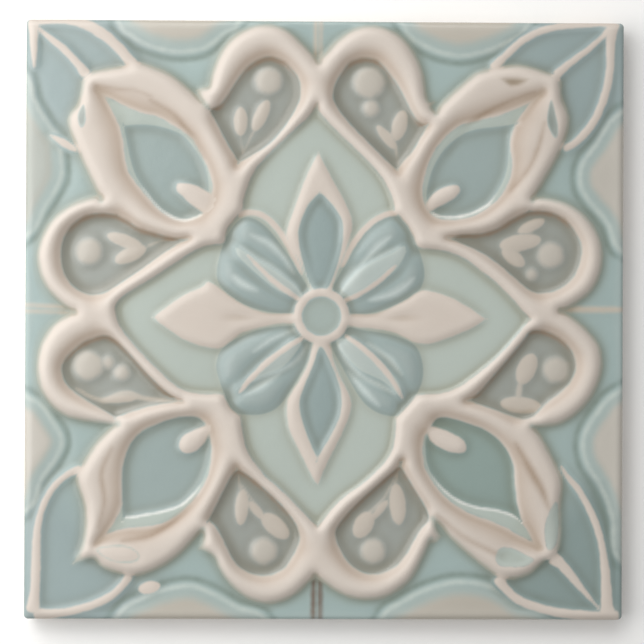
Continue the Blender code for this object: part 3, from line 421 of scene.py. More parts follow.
# Half width, x and y along the soft creases of each bud's band
BUD_CREASES = [
    [(0.1, -58.2, 59.4), (0.2, -53.5, 58.4), (0.2, -48.5, 58.0), (0.1, -44.5, 56.6)],
    [(0.2, -44, 55.3), (0.5, -38.5, 52), (0.5, -34, 46.5), (0.2, -31, 41.5)],
    [(0.2, 52.5, 58.2), (0.4, 46.5, 55.8), (0.5, 40, 52.5), (0.5, 35, 48), (0.2, 31.5, 42.5)],
    [(0.3, 55.5, 50), (0.6, 54, 44), (0.6, 51.5, 38.5), (0.3, 47.5, 33.5)],
    [(0.3, -50.5, -56), (0.7, -44, -54.8), (0.7, -38, -51), (0.3, -33, -45.5)],
    [(0.3, -54, -33), (0.6, -56.4, -39), (0.6, -55.6, -46), (0.3, -57, -52)],
    [(0.4, 48.8, -31.5), (1.1, 52.2, -37.5), (1.1, 55.3, -43), (0.4, 57, -47.5)],
    [(0.3, 29, -49.5), (0.6, 35, -54.5), (0.6, 41, -57.8), (0.3, 45.5, -59.8)],
]
# Heights and depths of the buds' forms and marks, and how wide they are
lens_rim_height = 0.22
lens_depth, lens_edge = 0.2, 0.9
lens_bead_rise, lens_bead_offset, lens_bead_width = 0.1, 0.1, 0.65
tongue_height, tongue_edge = 0.55, 1.8
window_depth, window_edge = 0.3, 0.8
pocket_groove_depth, pocket_groove_width = 0.25, 0.6
pocket_line = 0.1
brown_pocket_depth, brown_pocket_edge = 0.3, 1.2
crease_depth, crease_spread = 0.2, 0.9
# Slants at which a lens's lower edge starts to hold the bead and its painted highlight, and how far from a
# tongue it is whole
bead_slant, bead_slant_range, tongue_clearance = 0.2, 0.6, 0.4

lens = depth_in("lens", BUD_LENSES.values())
tongue = depth_in("tongue", BUD_TONGUES.values())
window = depth_in("window", BUD_WINDOWS.values())
pocket = depth_in("pocket", [BUD_POCKETS["bottom_left"]])
crease = depth_in("crease", [ribbon(line) for line in BUD_CREASES])
# These few have glazes of their own
upper_window = depth_in("upper_window", [BUD_WINDOWS["top_left"], BUD_WINDOWS["top_right"]])
brown_pocket = depth_in("brown_pocket", [BUD_POCKETS["top_right"]])
dark_lens = depth_in("dark_lens", [BUD_LENSES["bottom_right"]])

outside_lens = np.maximum(-lens, 0)
share = outside_lens / (outside_lens + np.maximum(hollow, 0) + tiny)
bud_slope = lens_rim_height + (hollow_rim_height - lens_rim_height) * ease(share, 1)
bud_slope -= (lens_rim_height + lens_depth) * ease(lens, lens_edge)
height = np.where((hollow > 0) | (lens > 0), bud_slope, height)
height = np.where(tongue > 0, np.maximum(height, tongue_height * roll(tongue, tongue_edge)), height)
marks = window_depth * ease(window, window_edge)
marks = marks + pocket_groove_depth * bump(pocket, pocket_groove_width)
height -= marks + brown_pocket_depth * ease(brown_pocket, brown_pocket_edge)
height -= crease_depth * ease(crease + crease_spread, 2 * crease_spread)
cream = np.maximum(np.minimum(np.minimum(cream, -window), np.abs(pocket) - pocket_line), tongue)
cream = np.minimum(cream, np.maximum(-lens, tongue))
mint = np.maximum(np.minimum(mint, -lens), np.maximum(window, pocket_groove_width - np.abs(pocket)))


def growth_upwards(depth):
    """How fast a depth grows towards the tile's top, from place to place of the face."""
    return np.gradient(depth.reshape(row_count, row_count), places[::row_count, 1], axis=0).ravel()


# A low bead with a painted highlight runs along each lens's lower edge, the one facing the light, but not
# beside the tongue
lower_edge = ease(growth_upwards(lens) - bead_slant, bead_slant_range)
clear_of_tongue = ease(-tongue, tongue_clearance)
lens_highlight_bead = bump(lens + lens_bead_offset, lens_bead_width) * lower_edge * clear_of_tongue
height += lens_bead_rise * lens_highlight_bead

# Openings of the drops
# A drop's floor lies under the ground in grey-green glaze, with round berries and a sprig of leaves.
# They are pressed with it and stand up from the floor, brushed with a thin, pale and warm glaze.

# Berries: x, y and radius
BERRIES = [
    (-14.5, 60.8, 3.9), (-60, 17.2, 3.8), (11, 60.5, 4.4), (11.5, 54, 2.5), (57.5, 16.8, 3.8),
    (52.7, 12, 1.9), (-15.2, -58.7, 3.8), (-60, -11.8, 4.2), (-55, -11, 2), (-51.5, -13.5, 2.4),
    (12.5, -58.7, 3.6), (59, -12.4, 3.8),
]
# Leaves: x, y, half length, half width and turn in degrees
SPRIG_LEAVES = [
    (-21.6, 50.5, 3.9, 1.9, 90), (-16.5, 52, 4.5, 1.9, 65), (-51, 20, 4.9, 1.8, -18),
    (-49.5, 16.5, 4.5, 2.1, 25), (15.5, 46.7, 4, 1.5, -50), (18.8, 49.6, 4.2, 2.1, 75),
    (49.8, 20, 5.6, 2.3, 9), (48, 16.2, 3.6, 2, -36), (-20.9, -47.6, 4.8, 1.9, 86),
    (-12.4, -52.4, 4.6, 2.5, -42), (-17.2, -48.4, 3.2, 1.3, -48), (18.7, -46.8, 5.5, 2.3, 95),
    (10.1, -52, 3.9, 2.6, 60), (14.2, -48.2, 3.2, 1.2, 50), (51.5, -12.2, 4.4, 2.6, 65),
    (50, -21.4, 5.4, 2.3, -6), (52.5, 24.2, 4, 1.6, 25), (-52, -20.2, 5, 1.2, 4),
]
# Half width, x and y along each stem
STEMS = [
    [(0.3, -21.6, 46.5), (0.3, -21.2, 42.5)],
    [(0.4, -18.2, 48.3), (0.3, -20.8, 42.8)],
    [(0.5, -45, 18.7), (0.4, -42, 19.9), (0.3, -38.5, 20.2)],
    [(0.5, 17.8, 44.2), (0.3, 18.4, 40)],
    [(0.5, -63, -17.6), (0.7, -59.5, -19.6), (1, -56, -20.6), (1.3, -52.5, -19.6), (1.3, -49.5, -19),
        (0.9, -46, -20), (0.4, -38.5, -20.7)],
    [(0.5, -21.2, -43.6), (0.3, -21.8, -39.5)],
    [(0.5, -16, -49), (0.4, -21, -42)],
    [(0.5, 18, -42), (0.3, 18.8, -38)],
    [(0.7, 11, -49.4), (0.5, 15, -45.5), (0.3, 18.4, -39)],
    [(0.7, 49.9, -15.2), (0.9, 49.4, -19.5)],
]
opening_depth, opening_edge = 0.5, 1.4
berry_rise, berry_edge = 0.65, 3.4
leaf_rise, leaf_edge = 0.42, 1.6
stem_rise, stem_edge = 0.22, 0.6
# How sharply the pale glaze ends on a berry and on a leaf, against its depth
berry_sharpness, leaf_sharpness = 0.5, 1.2
# The painted shadow under the openings' upper edges: how far in it lies and how wide, the slants where it
# starts, and how far from a berry it is whole
brown_edge_inset, brown_edge_width = 0.3, 1.0
brown_slant, brown_slant_range, berry_clearance = 0.1, 0.8, 0.6

berry = depth_in("berry", [oval(x, y, radius, radius) for x, y, radius in BERRIES])
leaf = depth_in("leaf", [oval(*place) for place in SPRIG_LEAVES])
stem = depth_in("stem", [ribbon(line) for line in STEMS])

# Painted shadow: a brown band under the upper edge of each opening, where the frame shades the floor, but
# not beside a berry
upper_edge = ease(-growth_upwards(opening) - brown_slant, brown_slant_range)
clear_of_berry = ease(-berry, berry_clearance)
painted_shadow_edge = bump(opening - brown_edge_inset, brown_edge_width) * upper_edge * clear_of_berry

sprig_height = np.maximum(leaf_rise * roll(leaf, leaf_edge), stem_rise * roll(stem, stem_edge))
floor = -opening_depth * ease(opening, opening_edge)
floor += np.maximum(berry_rise * roll(berry, berry_edge), sprig_height)
height = np.where(opening > 0, floor, height)
sprig = np.maximum(np.maximum(berry_sharpness * berry, leaf_sharpness * leaf), stem)
sprig = np.minimum(sprig, opening)

# Rosette
# Four cream petals and four blue corner petals stand round a ringed disc. Each corner petal carries a
# folded leaf with a cream lip.
CREAM_PETALS = {
    "top": [(-1.8, 42.6), (-1.8, 42.6), (-4.5, 37.5), (-8, 28), (-9.8, 21), (-6, 14), (-4.2, 10),
        (-3.2, 6), (-0.8, 4), (1.5, 6.5), (2.5, 10.5), (6.8, 23), (5.5, 29), (2, 35.5)],
    "bottom": [(-1.5, -41.8), (-1.5, -41.8), (-3, -40), (-6.5, -33), (-8.5, -29), (-9.5, -25),
        (-9.5, -21), (-8.5, -18.5), (-6, -14.5), (-4, -10.5), (-3, -6), (-0.8, -2), (1.3, -6),
        (2.2, -10), (4, -14.5), (6.8, -20.5), (5.5, -26.5), (0, -38)],
    "left": [(-43.5, 0.6), (-43.5, 0.6), (-37, 5.5), (-31, 8.5), (-29, 9.5), (-21, 4), (-14.5, 1.8),
        (-8, 1.6), (-4, 0.8), (-8, -0.9), (-12, -1), (-19.5, -2.8), (-22, -4), (-26, -7), (-29, -7.2),
        (-35, -5.5), (-41, -1.6)],
    "right": [(41, 0.4), (41, 0.4), (37, 3.2), (33, 5.5), (29, 7), (25.5, 7.7), (23, 7), (21, 5.5),
        (15, 2.5), (11.5, 1.6), (6.5, 1.5), (3, 0.6), (6, -1.4), (16.5, -2.8), (25, -6), (35, -3)],
}
PETAL_HEARTS = {
    "top": [(-1.5, 32.4), (-1.5, 32.4), (-5, 28), (-6.8, 20.5), (-3.4, 8.5), (0.5, 8), (3.8, 16.5),
        (4.5, 23), (3.8, 26.5), (0.2, 31.1)],
    "bottom": [(-1.8, -35.1), (-1.8, -35.1), (-4, -30), (-5.5, -26), (-6.2, -22.5), (-6, -19),
        (-3, -11.5), (-1, -6.8), (2, -12), (4.2, -19), (3.5, -25.5)],
}
CORNER_PETALS = {
    "top_left": [(-4.2, 7.6), (-7, 12.5), (-9.5, 16.5), (-15, 23.5), (-20, 26), (-24, 22.8), (-26.8, 16),
        (-27, 9.5), (-21.5, 4.5), (-14, 2.1), (-7.5, 2), (-5.5, 4.5)],
    "top_right": [(2, 7.8), (4.5, 13), (7, 18), (9.5, 21.8), (12.5, 24.8), (17.8, 26.8), (21.8, 22.5),
        (23, 19.5), (24.3, 16.5), (25.2, 12.5), (24.8, 9.5), (23.2, 7.2), (18, 4), (11.5, 1.9), (6.3, 2),
        (4.5, 5)],
    "bottom_left": [(-7.5, -1.6), (-16, -2.4), (-23, -5.2), (-26, -7.5), (-27.2, -10), (-27.2, -13.5),
        (-24.5, -21), (-22.5, -23.3), (-20, -24), (-16, -23.9), (-12.5, -22.5), (-9.8, -19.5),
        (-5, -11.5), (-3.3, -6.5), (-5.2, -3.8)],
    "bottom_right": [(5.8, -2), (10, -2.6), (18, -4), (23.4, -7), (25, -13.5), (23, -19.3),
        (18.8, -23.8), (15.5, -24), (12, -22.5), (9, -19.5), (4.6, -12), (2, -7), (2.2, -4.4)],
}
PETAL_FOLDS = {
    "top_left": [(-23, 18.4), (-23, 18.4), (-20.5, 17.3), (-8.5, 9.5), (-5.8, 5.6), (-11, 7), (-15, 9.7),
        (-21.5, 15.5)],
    "top_right": [(3.9, 7.4), (9.5, 13.3), (17, 17.2), (20, 19), (20.6, 17.5), (20.6, 17.5),
        (19.3, 14.8), (17, 12), (9.5, 7), (6, 5.8)],
    "bottom_left": [(-6.3, -4.6), (-9, -5.6), (-16, -11.3), (-21.9, -17.3), (-21.9, -17.3),
        (-16.5, -14.5), (-10.5, -11.8), (-6.3, -6.7)],
    "bottom_right": [(3, -6.2), (4.4, -4.6), (8, -5.6), (12, -8.3), (18, -14.6), (19.6, -18),
        (19.8, -20), (19.8, -20), (15, -15.6), (8.5, -12.3)],
}
# Half width, x and y along the raised rims of the two upper corner petals
PETAL_RIMS = [
    [(0.7, -22, 26.6), (0.8, -19.5, 27.3), (0.8, -16, 26.6), (0.8, -13, 24.2), (0.8, -10.6, 21),
        (0.7, -8.2, 16.5), (0.4, -6, 12)],
    [(0.7, 18.3, 27.4), (0.8, 15.3, 26.9), (0.8, 12, 25), (0.8, 9, 22), (0.8, 6.6, 18.5), (0.5, 4.5, 14)],
]
# Half width, x and y along the raised lip of each folded leaf
FOLD_LIPS = [
    [(0.3, -19.5, 16.2), (0.6, -15.8, 12.4), (0.75, -12.4, 9.3), (0.7, -9.2, 7.0), (0.5, -6.2, 5.0)],
    [(0.5, 5, 5), (0.65, 9, 6.8), (0.65, 13.5, 9.8), (0.4, 17.6, 13.6)],
    [(0.5, -5.8, -4.6), (0.75, -10, -7.2), (0.85, -14.6, -10.8), (0.7, -18.6, -14.8), (0.4, -21.4, -18.2)],
    [(0.5, 5.6, -4.2), (0.75, 9.8, -7.2), (0.85, 13.8, -11), (0.7, 17, -15), (0.4, 19.6, -19.4)],
]
# Painted highlights: pale strokes on the corner petals' lobes, and along the far edge of each folded leaf
PAINTED_HIGHLIGHT_STROKES = [
    [(0.3, -18.4, 21.4), (1.0, -14.1, 19.3), (0.8, -10.6, 15.9), (0.3, -8.2, 12.2)],
    [(0.5, -23.3, 11), (1.0, -21, 9.2), (0.4, -17.5, 7.6)],
    [(0.3, 9.2, 14.1), (1.0, 12.9, 18.2), (0.4, 16.2, 21)],
    [(0.3, 11.6, 5.2), (1.0, 16.5, 6.4), (1.0, 20, 8.4), (0.3, 22.4, 10.6)],
    [(0.3, -17.6, -7.8), (0.7, -13.5, -4.9), (0.3, -8.4, -2.7)],
    [(0.3, -20, -19), (1.0, -15.9, -16.7), (0.3, -11.4, -13.4)],
    [(0.3, 11.4, -6.2), (0.8, 16.5, -9.8), (0.3, 19.4, -13.4)],
    [(0.3, 6.4, -13.6), (0.9, 10.4, -18.2), (0.3, 13.6, -21.4)],
    [(0.3, -21.2, 18.3), (0.6, -17.6, 15.8), (0.6, -12.9, 13), (0.4, -8.2, 9.2), (0.2, -6.2, 6.6)],
    [(0.3, 4, 6.9), (0.6, 6.9, 11.2), (0.6, 12.3, 15.3), (0.3, 18.4, 18.4)],
    [(0.2, -4.8, -6.8), (0.6, -6.9, -9.9), (0.6, -10.8, -12.6), (0.3, -17.6, -15.1)],
    [(0.2, 3.7, -6.5), (0.6, 5.5, -10), (0.6, 9.4, -14.1), (0.6, 13.5, -16.3), (0.3, 17.6, -18.3)],
]
rosette_x, rosette_y = -0.85, 1.0
ring_radius, ring_half_width = 6.0, 1.1
ring_foot, ring_rise = 0.45, 0.6
disc_height = 0.62
field_height = 0.05
# The frame is pressed down to this height where the flower lies over it
flower_under_frame = 0.6
# Forms and marks of the petals: how high or deep they are, and how wide
petal_rise, petal_edge = 0.75, 1.5
midrib_depth, midrib_width, midrib_y = 0.4, 1.3, -0.4
midrib_start, midrib_full, midrib_fade, midrib_end = 6.0, 10.0, 20.0, 28.0
heart_depth, heart_edge = 0.6, 1.3
heart_swell, heart_swell_width = 0.25, 4.0
corner_petal_rise, corner_petal_edge = 1.0, 5.0
fold_groove_depth, fold_groove_offset, fold_groove_width = 0.4, 1.4, 1.3
fold_lip_rise, fold_lip_foot, fold_lip_edge = 0.25, 0.3, 1.0
petal_rim_rise, petal_rim_edge = 0.4, 0.8

petal = depth_in("petal", CREAM_PETALS.values())
heart = depth_in("heart", PETAL_HEARTS.values())
corner_petal = depth_in("corner_petal", CORNER_PETALS.values())
fold = depth_in("fold", PETAL_FOLDS.values())
fold_lip = depth_in("fold_lip", [ribbon(line) for line in FOLD_LIPS])
# pale strokes that are painted highlights on the corner petals
highlight_stroke = depth_in("highlight_stroke", [ribbon(line) for line in PAINTED_HIGHLIGHT_STROKES])
petal_rim = depth_in("petal_rim", [ribbon(line) for line in PETAL_RIMS])

across, up = places[:, 0] - rosette_x, places[:, 1] - rosette_y
radius = np.hypot(across, up)


def rosette_relief():
    """Height of the petals, their rims and the ringed disc, or -REACH off the flower."""
    outwards = np.abs(across)
    midrib = midrib_depth * bump(up - midrib_y, midrib_width)
    midrib = midrib * ease(outwards - midrib_start, midrib_full - midrib_start)
    midrib = midrib * (1 - ease(outwards - midrib_fade, midrib_end - midrib_fade))
    raised = field_height + petal_rise * roll(petal, petal_edge)
    raised = raised - np.where(outwards > np.abs(up), midrib, 0)
    raised += heart_swell * ease(heart, heart_swell_width) - heart_depth * ease(heart, heart_edge)
    flower = np.where(petal > 0, raised, -REACH)
    blue = field_height + corner_petal_rise * climb(corner_petal, corner_petal_edge)
    blue = blue - fold_groove_depth * bump(fold + fold_groove_offset, fold_groove_width)
    blue += fold_lip_rise * ease(fold_lip + fold_lip_foot, fold_lip_edge)
    flower = np.maximum(flower, np.where(corner_petal > 0, blue, -REACH))
    rim = field_height + petal_rim_rise * roll(petal_rim, petal_rim_edge)
    flower = np.maximum(flower, np.where(petal_rim > 0, rim, -REACH))
    flower = np.where(radius < ring_radius, disc_height, flower)
    arch = np.clip((radius - ring_radius) / ring_half_width, -1, 1)
    ring_height = ring_foot + ring_rise * np.sqrt(1 - arch**2)
    return np.where(np.abs(arch) < 1, np.maximum(flower, ring_height), flower)


height = np.where(field > 0, field_height, height)
on_flower = (field > 0) | (corner_petal > 0)
under_flower = np.minimum(height, flower_under_frame)
height = np.where(on_flower, np.maximum(rosette_relief(), under_flower), height)

ring = ring_half_width - np.abs(radius - ring_radius)
disc = ring_radius - radius
petal_cream = np.minimum(np.minimum(petal, -heart), -corner_petal)
flower_cream = np.maximum(np.maximum(petal_cream, ring), np.maximum(petal_rim, fold_lip))
cream = np.maximum(np.minimum(cream, -corner_petal), np.minimum(flower_cream, ring_half_width - disc))
blue_flower = np.maximum(np.minimum(corner_petal, -fold), heart)
mint = np.minimum(mint, -np.maximum(blue_flower, disc))
pale_fold = np.minimum(fold, corner_petal)

# Corner leaves
# Each bud's tip ends in two flat leaf cells between cream ribs that run off the tile's corner. The ribs
# are low beads of the pressed clay under the frame's warm white glaze.

# Half width, x and y along each rib
LEAF_LINES = {
    "leaf_top_left_upper": [(1.5, -74.5, 76.3), (1.4, -66, 76.1), (1.5, -61, 74.8), (1.6, -57, 72.6),
        (1.5, -53.5, 69.8), (1.5, -50.5, 66.5), (1.6, -48.8, 64)],
    "leaf_top_left_edge": [(1.4, -74.3, 76), (1.3, -74.2, 72), (1, -74.1, 68), (0.5, -74, 64)],
    "vein_top_left": [(0.5, -73.3, 74), (0.9, -70, 71.3), (1.1, -66.5, 68.5), (1.1, -63.5, 65.4),
        (1.3, -60.8, 62)],
    # a low raised stroke in the leaf cell, glazed cream as a painted highlight
    "stroke_top_left": [(0.3, -69.8, 46.6), (1.1, -67, 45), (1, -65, 43.8), (0.5, -63, 42.6)],
    "leaf_top_right_upper": [(1.2, 42.5, 64.3), (1.1, 45.5, 67.3), (1.1, 49, 70.6), (1.1, 52, 72.6),
        (1.1, 55.5, 74.2), (1.1, 60, 75.2), (1, 65, 75.6), (1.1, 70, 76), (1.2, 74, 76)],
    "vein_top_right": [(1.2, 58.6, 62.6), (1.1, 61, 64.8), (1, 64, 67.1), (0.9, 67, 69.4),
        (0.8, 70, 72.1), (0.9, 72.5, 74.8)],
    "leaf_top_right_right": [(1.6, 73.4, 76.2), (1.5, 72.7, 73), (1.3, 72.5, 69), (1.2, 72.4, 64.5),
        (1.2, 71.7, 60), (1.2, 70.5, 55.8), (1.2, 68.6, 51.4), (1.2, 66, 47.8), (1.1, 63.3, 45.3),
        (0.9, 60.7, 43.8)],
    "leaf_bottom_right_right": [(0.4, 60.3, -37), (0.8, 62, -39.6), (1, 64.5, -42.6), (1, 66.6, -46),
        (1.1, 68.5, -49.8), (1.1, 70, -54), (1.1, 71, -58.5), (1.3, 71.6, -63), (1.5, 71.9, -67.5),
        (1.7, 72.1, -72), (2.2, 72.5, -76)],
    "vein_bottom_right": [(1.6, 58, -60), (1.5, 60.5, -62), (1.3, 63, -64.8), (1, 65.6, -68),
        (0.6, 68.2, -71), (0.3, 70.6, -73.6)],
    "leaf_bottom_right_lower": [(1.5, 44.3, -65.2), (1.3, 46.2, -68), (1.3, 49, -70.6),
        (1.3, 52.5, -72.2), (1.3, 56.5, -73.4), (1.4, 61, -74.4), (1.5, 66, -74.9), (1.6, 70.5, -75.3),
        (1.8, 75, -75.5)],
    "leaf_bottom_left_left": [(1, -61.8, -37.8), (1, -65, -39.4), (1, -68, -41.9), (1, -70.3, -45.3),
        (1, -71.8, -49), (1.1, -72.6, -53), (1.3, -72.9, -58), (1.4, -73, -63.5), (1.4, -73.2, -69),
        (1.7, -73.8, -74)],
    "leaf_bottom_left_lower": [(1.1, -49.2, -64.8), (1.1, -51.3, -67.7), (1.2, -54, -70.2),
        (1.2, -58, -72.2), (1.2, -62.5, -73.6), (1.3, -67.5, -74.6), (1.8, -73, -75.2)],
}
# A small stray blob on the ground: x, y, half length, half width and turn in degrees
SMALL_BLOB = (-44.3, -68.0, 2.9, 1.6, 12)
leaf_rib_rise, leaf_rib_foot, leaf_rib_edge = 0.55, 0.2, 1.3
# How far in from a rib's outline its white glaze starts
bare_rib_foot = 0.15
blob_rise, blob_edge = 0.5, 1.6

leaf_rib = depth_in("leaf_rib", [ribbon(line) for line in LEAF_LINES.values()])
small_blob = depth_in("small_blob", [oval(*SMALL_BLOB)])
rib_height = leaf_rib_rise * roll(leaf_rib + leaf_rib_foot, leaf_rib_edge)
height = np.maximum(height, np.where(leaf_rib > -leaf_rib_foot, rib_height, -REACH))
height = np.maximum(height, np.where(small_blob > 0, blob_rise * roll(small_blob, blob_edge), -REACH))
cream = np.maximum(np.maximum(cream, leaf_rib - bare_rib_foot), small_blob)

# Border
# Half medallions swell at the tile's edges, where the next tile would complete them, and faint seams
# of the pattern cross the middle of each side.

# Outlines of the half medallions, which go on beyond the tile's edges
SWELLS = {
    "top_left": [(-55, 88), (-52.5, 75.2), (-49, 71.8), (-45, 69.6), (-38, 68), (-31, 69), (-26, 72.8),
        (-22, 76), (-21, 88)],
    "top_right": [(17, 88), (20, 74.5), (25, 70), (32, 67.6), (38, 68), (45, 70.5), (51, 75), (53, 88)],
    "left_upper": [(-88, 66), (-76.5, 62), (-74, 55.5), (-70.5, 49.5), (-67.8, 46), (-67.2, 42),
        (-67, 38.5), (-67.4, 35), (-71.3, 28), (-75.2, 21.7), (-88, 18)],
    "left_lower": [(-88, -18), (-74, -20.5), (-69, -26), (-66.6, -31), (-68.6, -36), (-72, -41),
        (-75, -48), (-88, -52)],
    "bottom_left": [(-56, -88), (-52, -75), (-46, -70.8), (-40, -68.5), (-34, -67.6), (-28, -69.6),
        (-22, -73), (-15, -76), (-12, -88)],
    "bottom_right": [(12, -88), (15, -75.5), (20, -71.6), (26, -68.5), (33, -66.6), (40, -67),
        (45.5, -69), (50, -72), (57, -74.8), (62, -88)],
    "right_upper": [(88, 56), (75, 53), (69, 45), (65.5, 40), (65, 35), (67, 31), (72, 25), (75.6, 18),
        (88, 17)],
    "right_lower": [(88, -16), (75, -18), (69, -24), (66, -30), (66.8, -36), (70.5, -42), (73.5, -50),
        (75, -60), (88, -64)],
}
# Half width, x and y along the seams: pale ones, and the dark ones at the bottom
PALE_SEAMS = [
    [(0.3, -2.6, 76), (0.3, -2.6, 66.5)],
    [(0.3, -1.3, 76), (0.3, -1.3, 66.5)],
    [(0.3, -76, 3.6), (0.3, -65.5, 3)],
    [(0.3, -76, 2), (0.3, -65.5, 1.7)],
    [(0.6, 61.5, 3), (0.6, 76, 3)],
]
DARK_SEAMS = [
    [(0.5, -2.6, -66), (0.5, -2.7, -76)],
    [(0.5, -0.9, -66), (0.5, -0.9, -76)],
]
swell_rise, swell_foot, swell_edge = 0.40, 1.0, 5.0
crest_rise, crest_width = 0.16, 1.0
groove_depth, groove_offset, groove_width = 0.15, 1.9, 1.1
seam_rise, seam_edge = 0.12, 0.35
ground_edge = 2.0

swell = depth_in("swell", SWELLS.values())
# One half medallion is glazed cooler than the others, and three are paler
cool_swell = depth_in("cool_swell", [SWELLS["left_upper"]])
pale_swell = depth_in("pale_swell", [SWELLS[side] for side in ("left_lower", "right_upper", "right_lower")])
pale_seam = depth_in("pale_seam", [ribbon(line) for line in PALE_SEAMS])
dark_seam = depth_in("dark_seam", [ribbon(line) for line in DARK_SEAMS])
seam = np.maximum(pale_seam, dark_seam)
ground = np.minimum(-outside, -leaf_rib)
crest_line, groove_line = bump(swell, crest_width), bump(swell + groove_offset, groove_width)
waves = swell_rise * ease(swell + swell_foot, swell_edge) + crest_rise * crest_line
waves = (waves - groove_depth * groove_line) * ease(ground, ground_edge)
height += np.where(outside < 0, waves + seam_rise * roll(seam, seam_edge), 0)

# Pressing
# The die presses the face, rolls its rim over and rounds the upright corners. The back stays flat. The
# glaze then fills the finest angles, which softens them a little.
# Passes of averaging over the pressed heights, and how wide the relief fades out at the rim
press_softening = 4
rim_fade = 2.0


def softened(values, times):
    """Values of the face averaged with their neighbours, a few times over."""
    square = values.reshape(row_count, row_count)
    for _ in range(times):
        padded = np.pad(square, 1, mode="edge")
        square = (padded[:-2, 1:-1] + padded[2:, 1:-1] + padded[1:-1, :-2] + padded[1:-1, 2:]) / 4
    return square.ravel()


def rounded_corners(flat):
    """Places of the flat face with those near its four corners drawn in to a round."""
    centre = half_side - corner_radius
    beyond = np.maximum(np.abs(flat) - centre, 0)
    in_corner = np.all(beyond > 0, axis=1)
    scale = beyond.max(axis=1) / np.maximum(np.hypot(beyond[:, 0], beyond[:, 1]), tiny)
    drawn_in = np.sign(flat) * (centre + beyond * scale[:, None])
    return np.where(in_corner[:, None], drawn_in, flat)


def keep(name, values):
    """Store values of the face's places in its mesh, for the glaze."""
    stored = face.data.attributes.new(name, "FLOAT", "POINT")
    stored.data.foreach_set("value", values.astype(np.float32))


from_side = half_side - np.abs(places).max(axis=1)
height = softened(height, press_softening)
height = height * ease(from_side, rim_fade) - rim_rounding * (1 - roll(from_side, rim_rounding))
coordinates = np.column_stack([rounded_corners(places), body_thickness + height]) * MM
face.data.vertices.foreach_set("co", coordinates.ravel())

# Glaze
# Translucent glazes on white earthenware: they run off the crests and pool in the hollows, so a crest is
# pale and the foot of each slope is darker; these tints are partly painted highlight and painted shade.
# Depths from the pressing say where each glaze lies.
# Where some glazes lie, and how far they fade out
foot_inset, foot_width = 0.2, 0.9
clear_width = 0.5
band_inset, band_fade = 0.8, 2.5
cream_fade = 1.5
ground_fade = 1.0
# Passes of averaging that tell wide and fine hollows from the heights round them
pool_softening, fine_pool_softening = 40, 6

# The frame's outer foot keeps some of the ground's glaze, away from the ribs and the field
frame_foot = bump(outside - foot_inset, foot_width) * ease(-leaf_rib - leaf_rib_foot, clear_width)
frame_foot = frame_foot * ease(-field, clear_width)
# How low the cream band lies, from 0 on its crest, and not on the tongues: its tint is pooled glaze and
# painted shade on the band's slopes
low_cream_glaze_and_shade = np.maximum(1 - height / frame_height, 0) * ease(edge - band_inset, band_fade)
low_cream_glaze_and_shade = low_cream_glaze_and_shade * ease(cream, cream_fade) * (tongue < 0)
on_ground = ease(ground, ground_fade) * (outside < 0)

keep("cream", cream)
keep("mint", mint)
keep("sage", opening)
keep("sprig", sprig)
keep("sprig_leaf", np.minimum(leaf, opening))
keep("blue", np.maximum(blue_flower, lens))
keep("dark_lens", dark_lens)
keep("upper_window", upper_window)
keep("brown_pocket", brown_pocket)
keep("painted_shadow_edge", painted_shadow_edge)
keep("frame_foot", frame_foot)
keep("heart", heart)
keep("disc", disc)
keep("fold", pale_fold)
keep("crease", np.minimum(crease, cream))
keep("swell", np.where(outside < 0, swell, -REACH))
keep("pale_swell", np.where(outside < 0, pale_swell, -REACH))
keep("cool_swell", np.where(outside < 0, cool_swell, -REACH))
keep("groove_line", groove_line * on_ground)
keep("crest_line", crest_line * on_ground)
keep("pale_seam", np.minimum(pale_seam, ground))
keep("dark_seam", np.minimum(dark_seam, ground))
keep("lens_highlight_bead", lens_highlight_bead)
keep("highlight_stroke", np.minimum(highlight_stroke, corner_petal))
keep("low_cream_glaze_and_shade", low_cream_glaze_and_shade)
# how far each place lies below its softened surroundings: where glaze pools and where shade is painted
keep("pool_and_shade", softened(height, pool_softening) - height)
keep("fine_pool", softened(height, fine_pool_softening) - height)


def linear(hex_colour, alpha=1.0):
    """An sRGB hex colour in linear values."""
    channels = [int(hex_colour[i:i + 2], 16) / 255 for i in (0, 2, 4)]
    return [c / 12.92 if c <= 0.04045 else ((c + 0.055) / 1.055)**2.4 for c in channels] + [alpha]


BISCUIT = linear("D9CFC0")
GROUND_GREEN = linear("9DAEAB")
CORNER_BLUE = linear("93A2A1")
CORNER_SLATE = linear("879794")
# Pale tint on the crests, partly thin glaze and partly a painted highlight
CREST_HIGHLIGHT_TINT = linear("EFEAE2")
# Sums and differences of x and y, in metres, between which the ground's colour turns
CORNER_START, CORNER_FULL = 0.100, 0.118
LOWER_RIGHT_START, LOWER_RIGHT_FULL = 0.104, 0.116
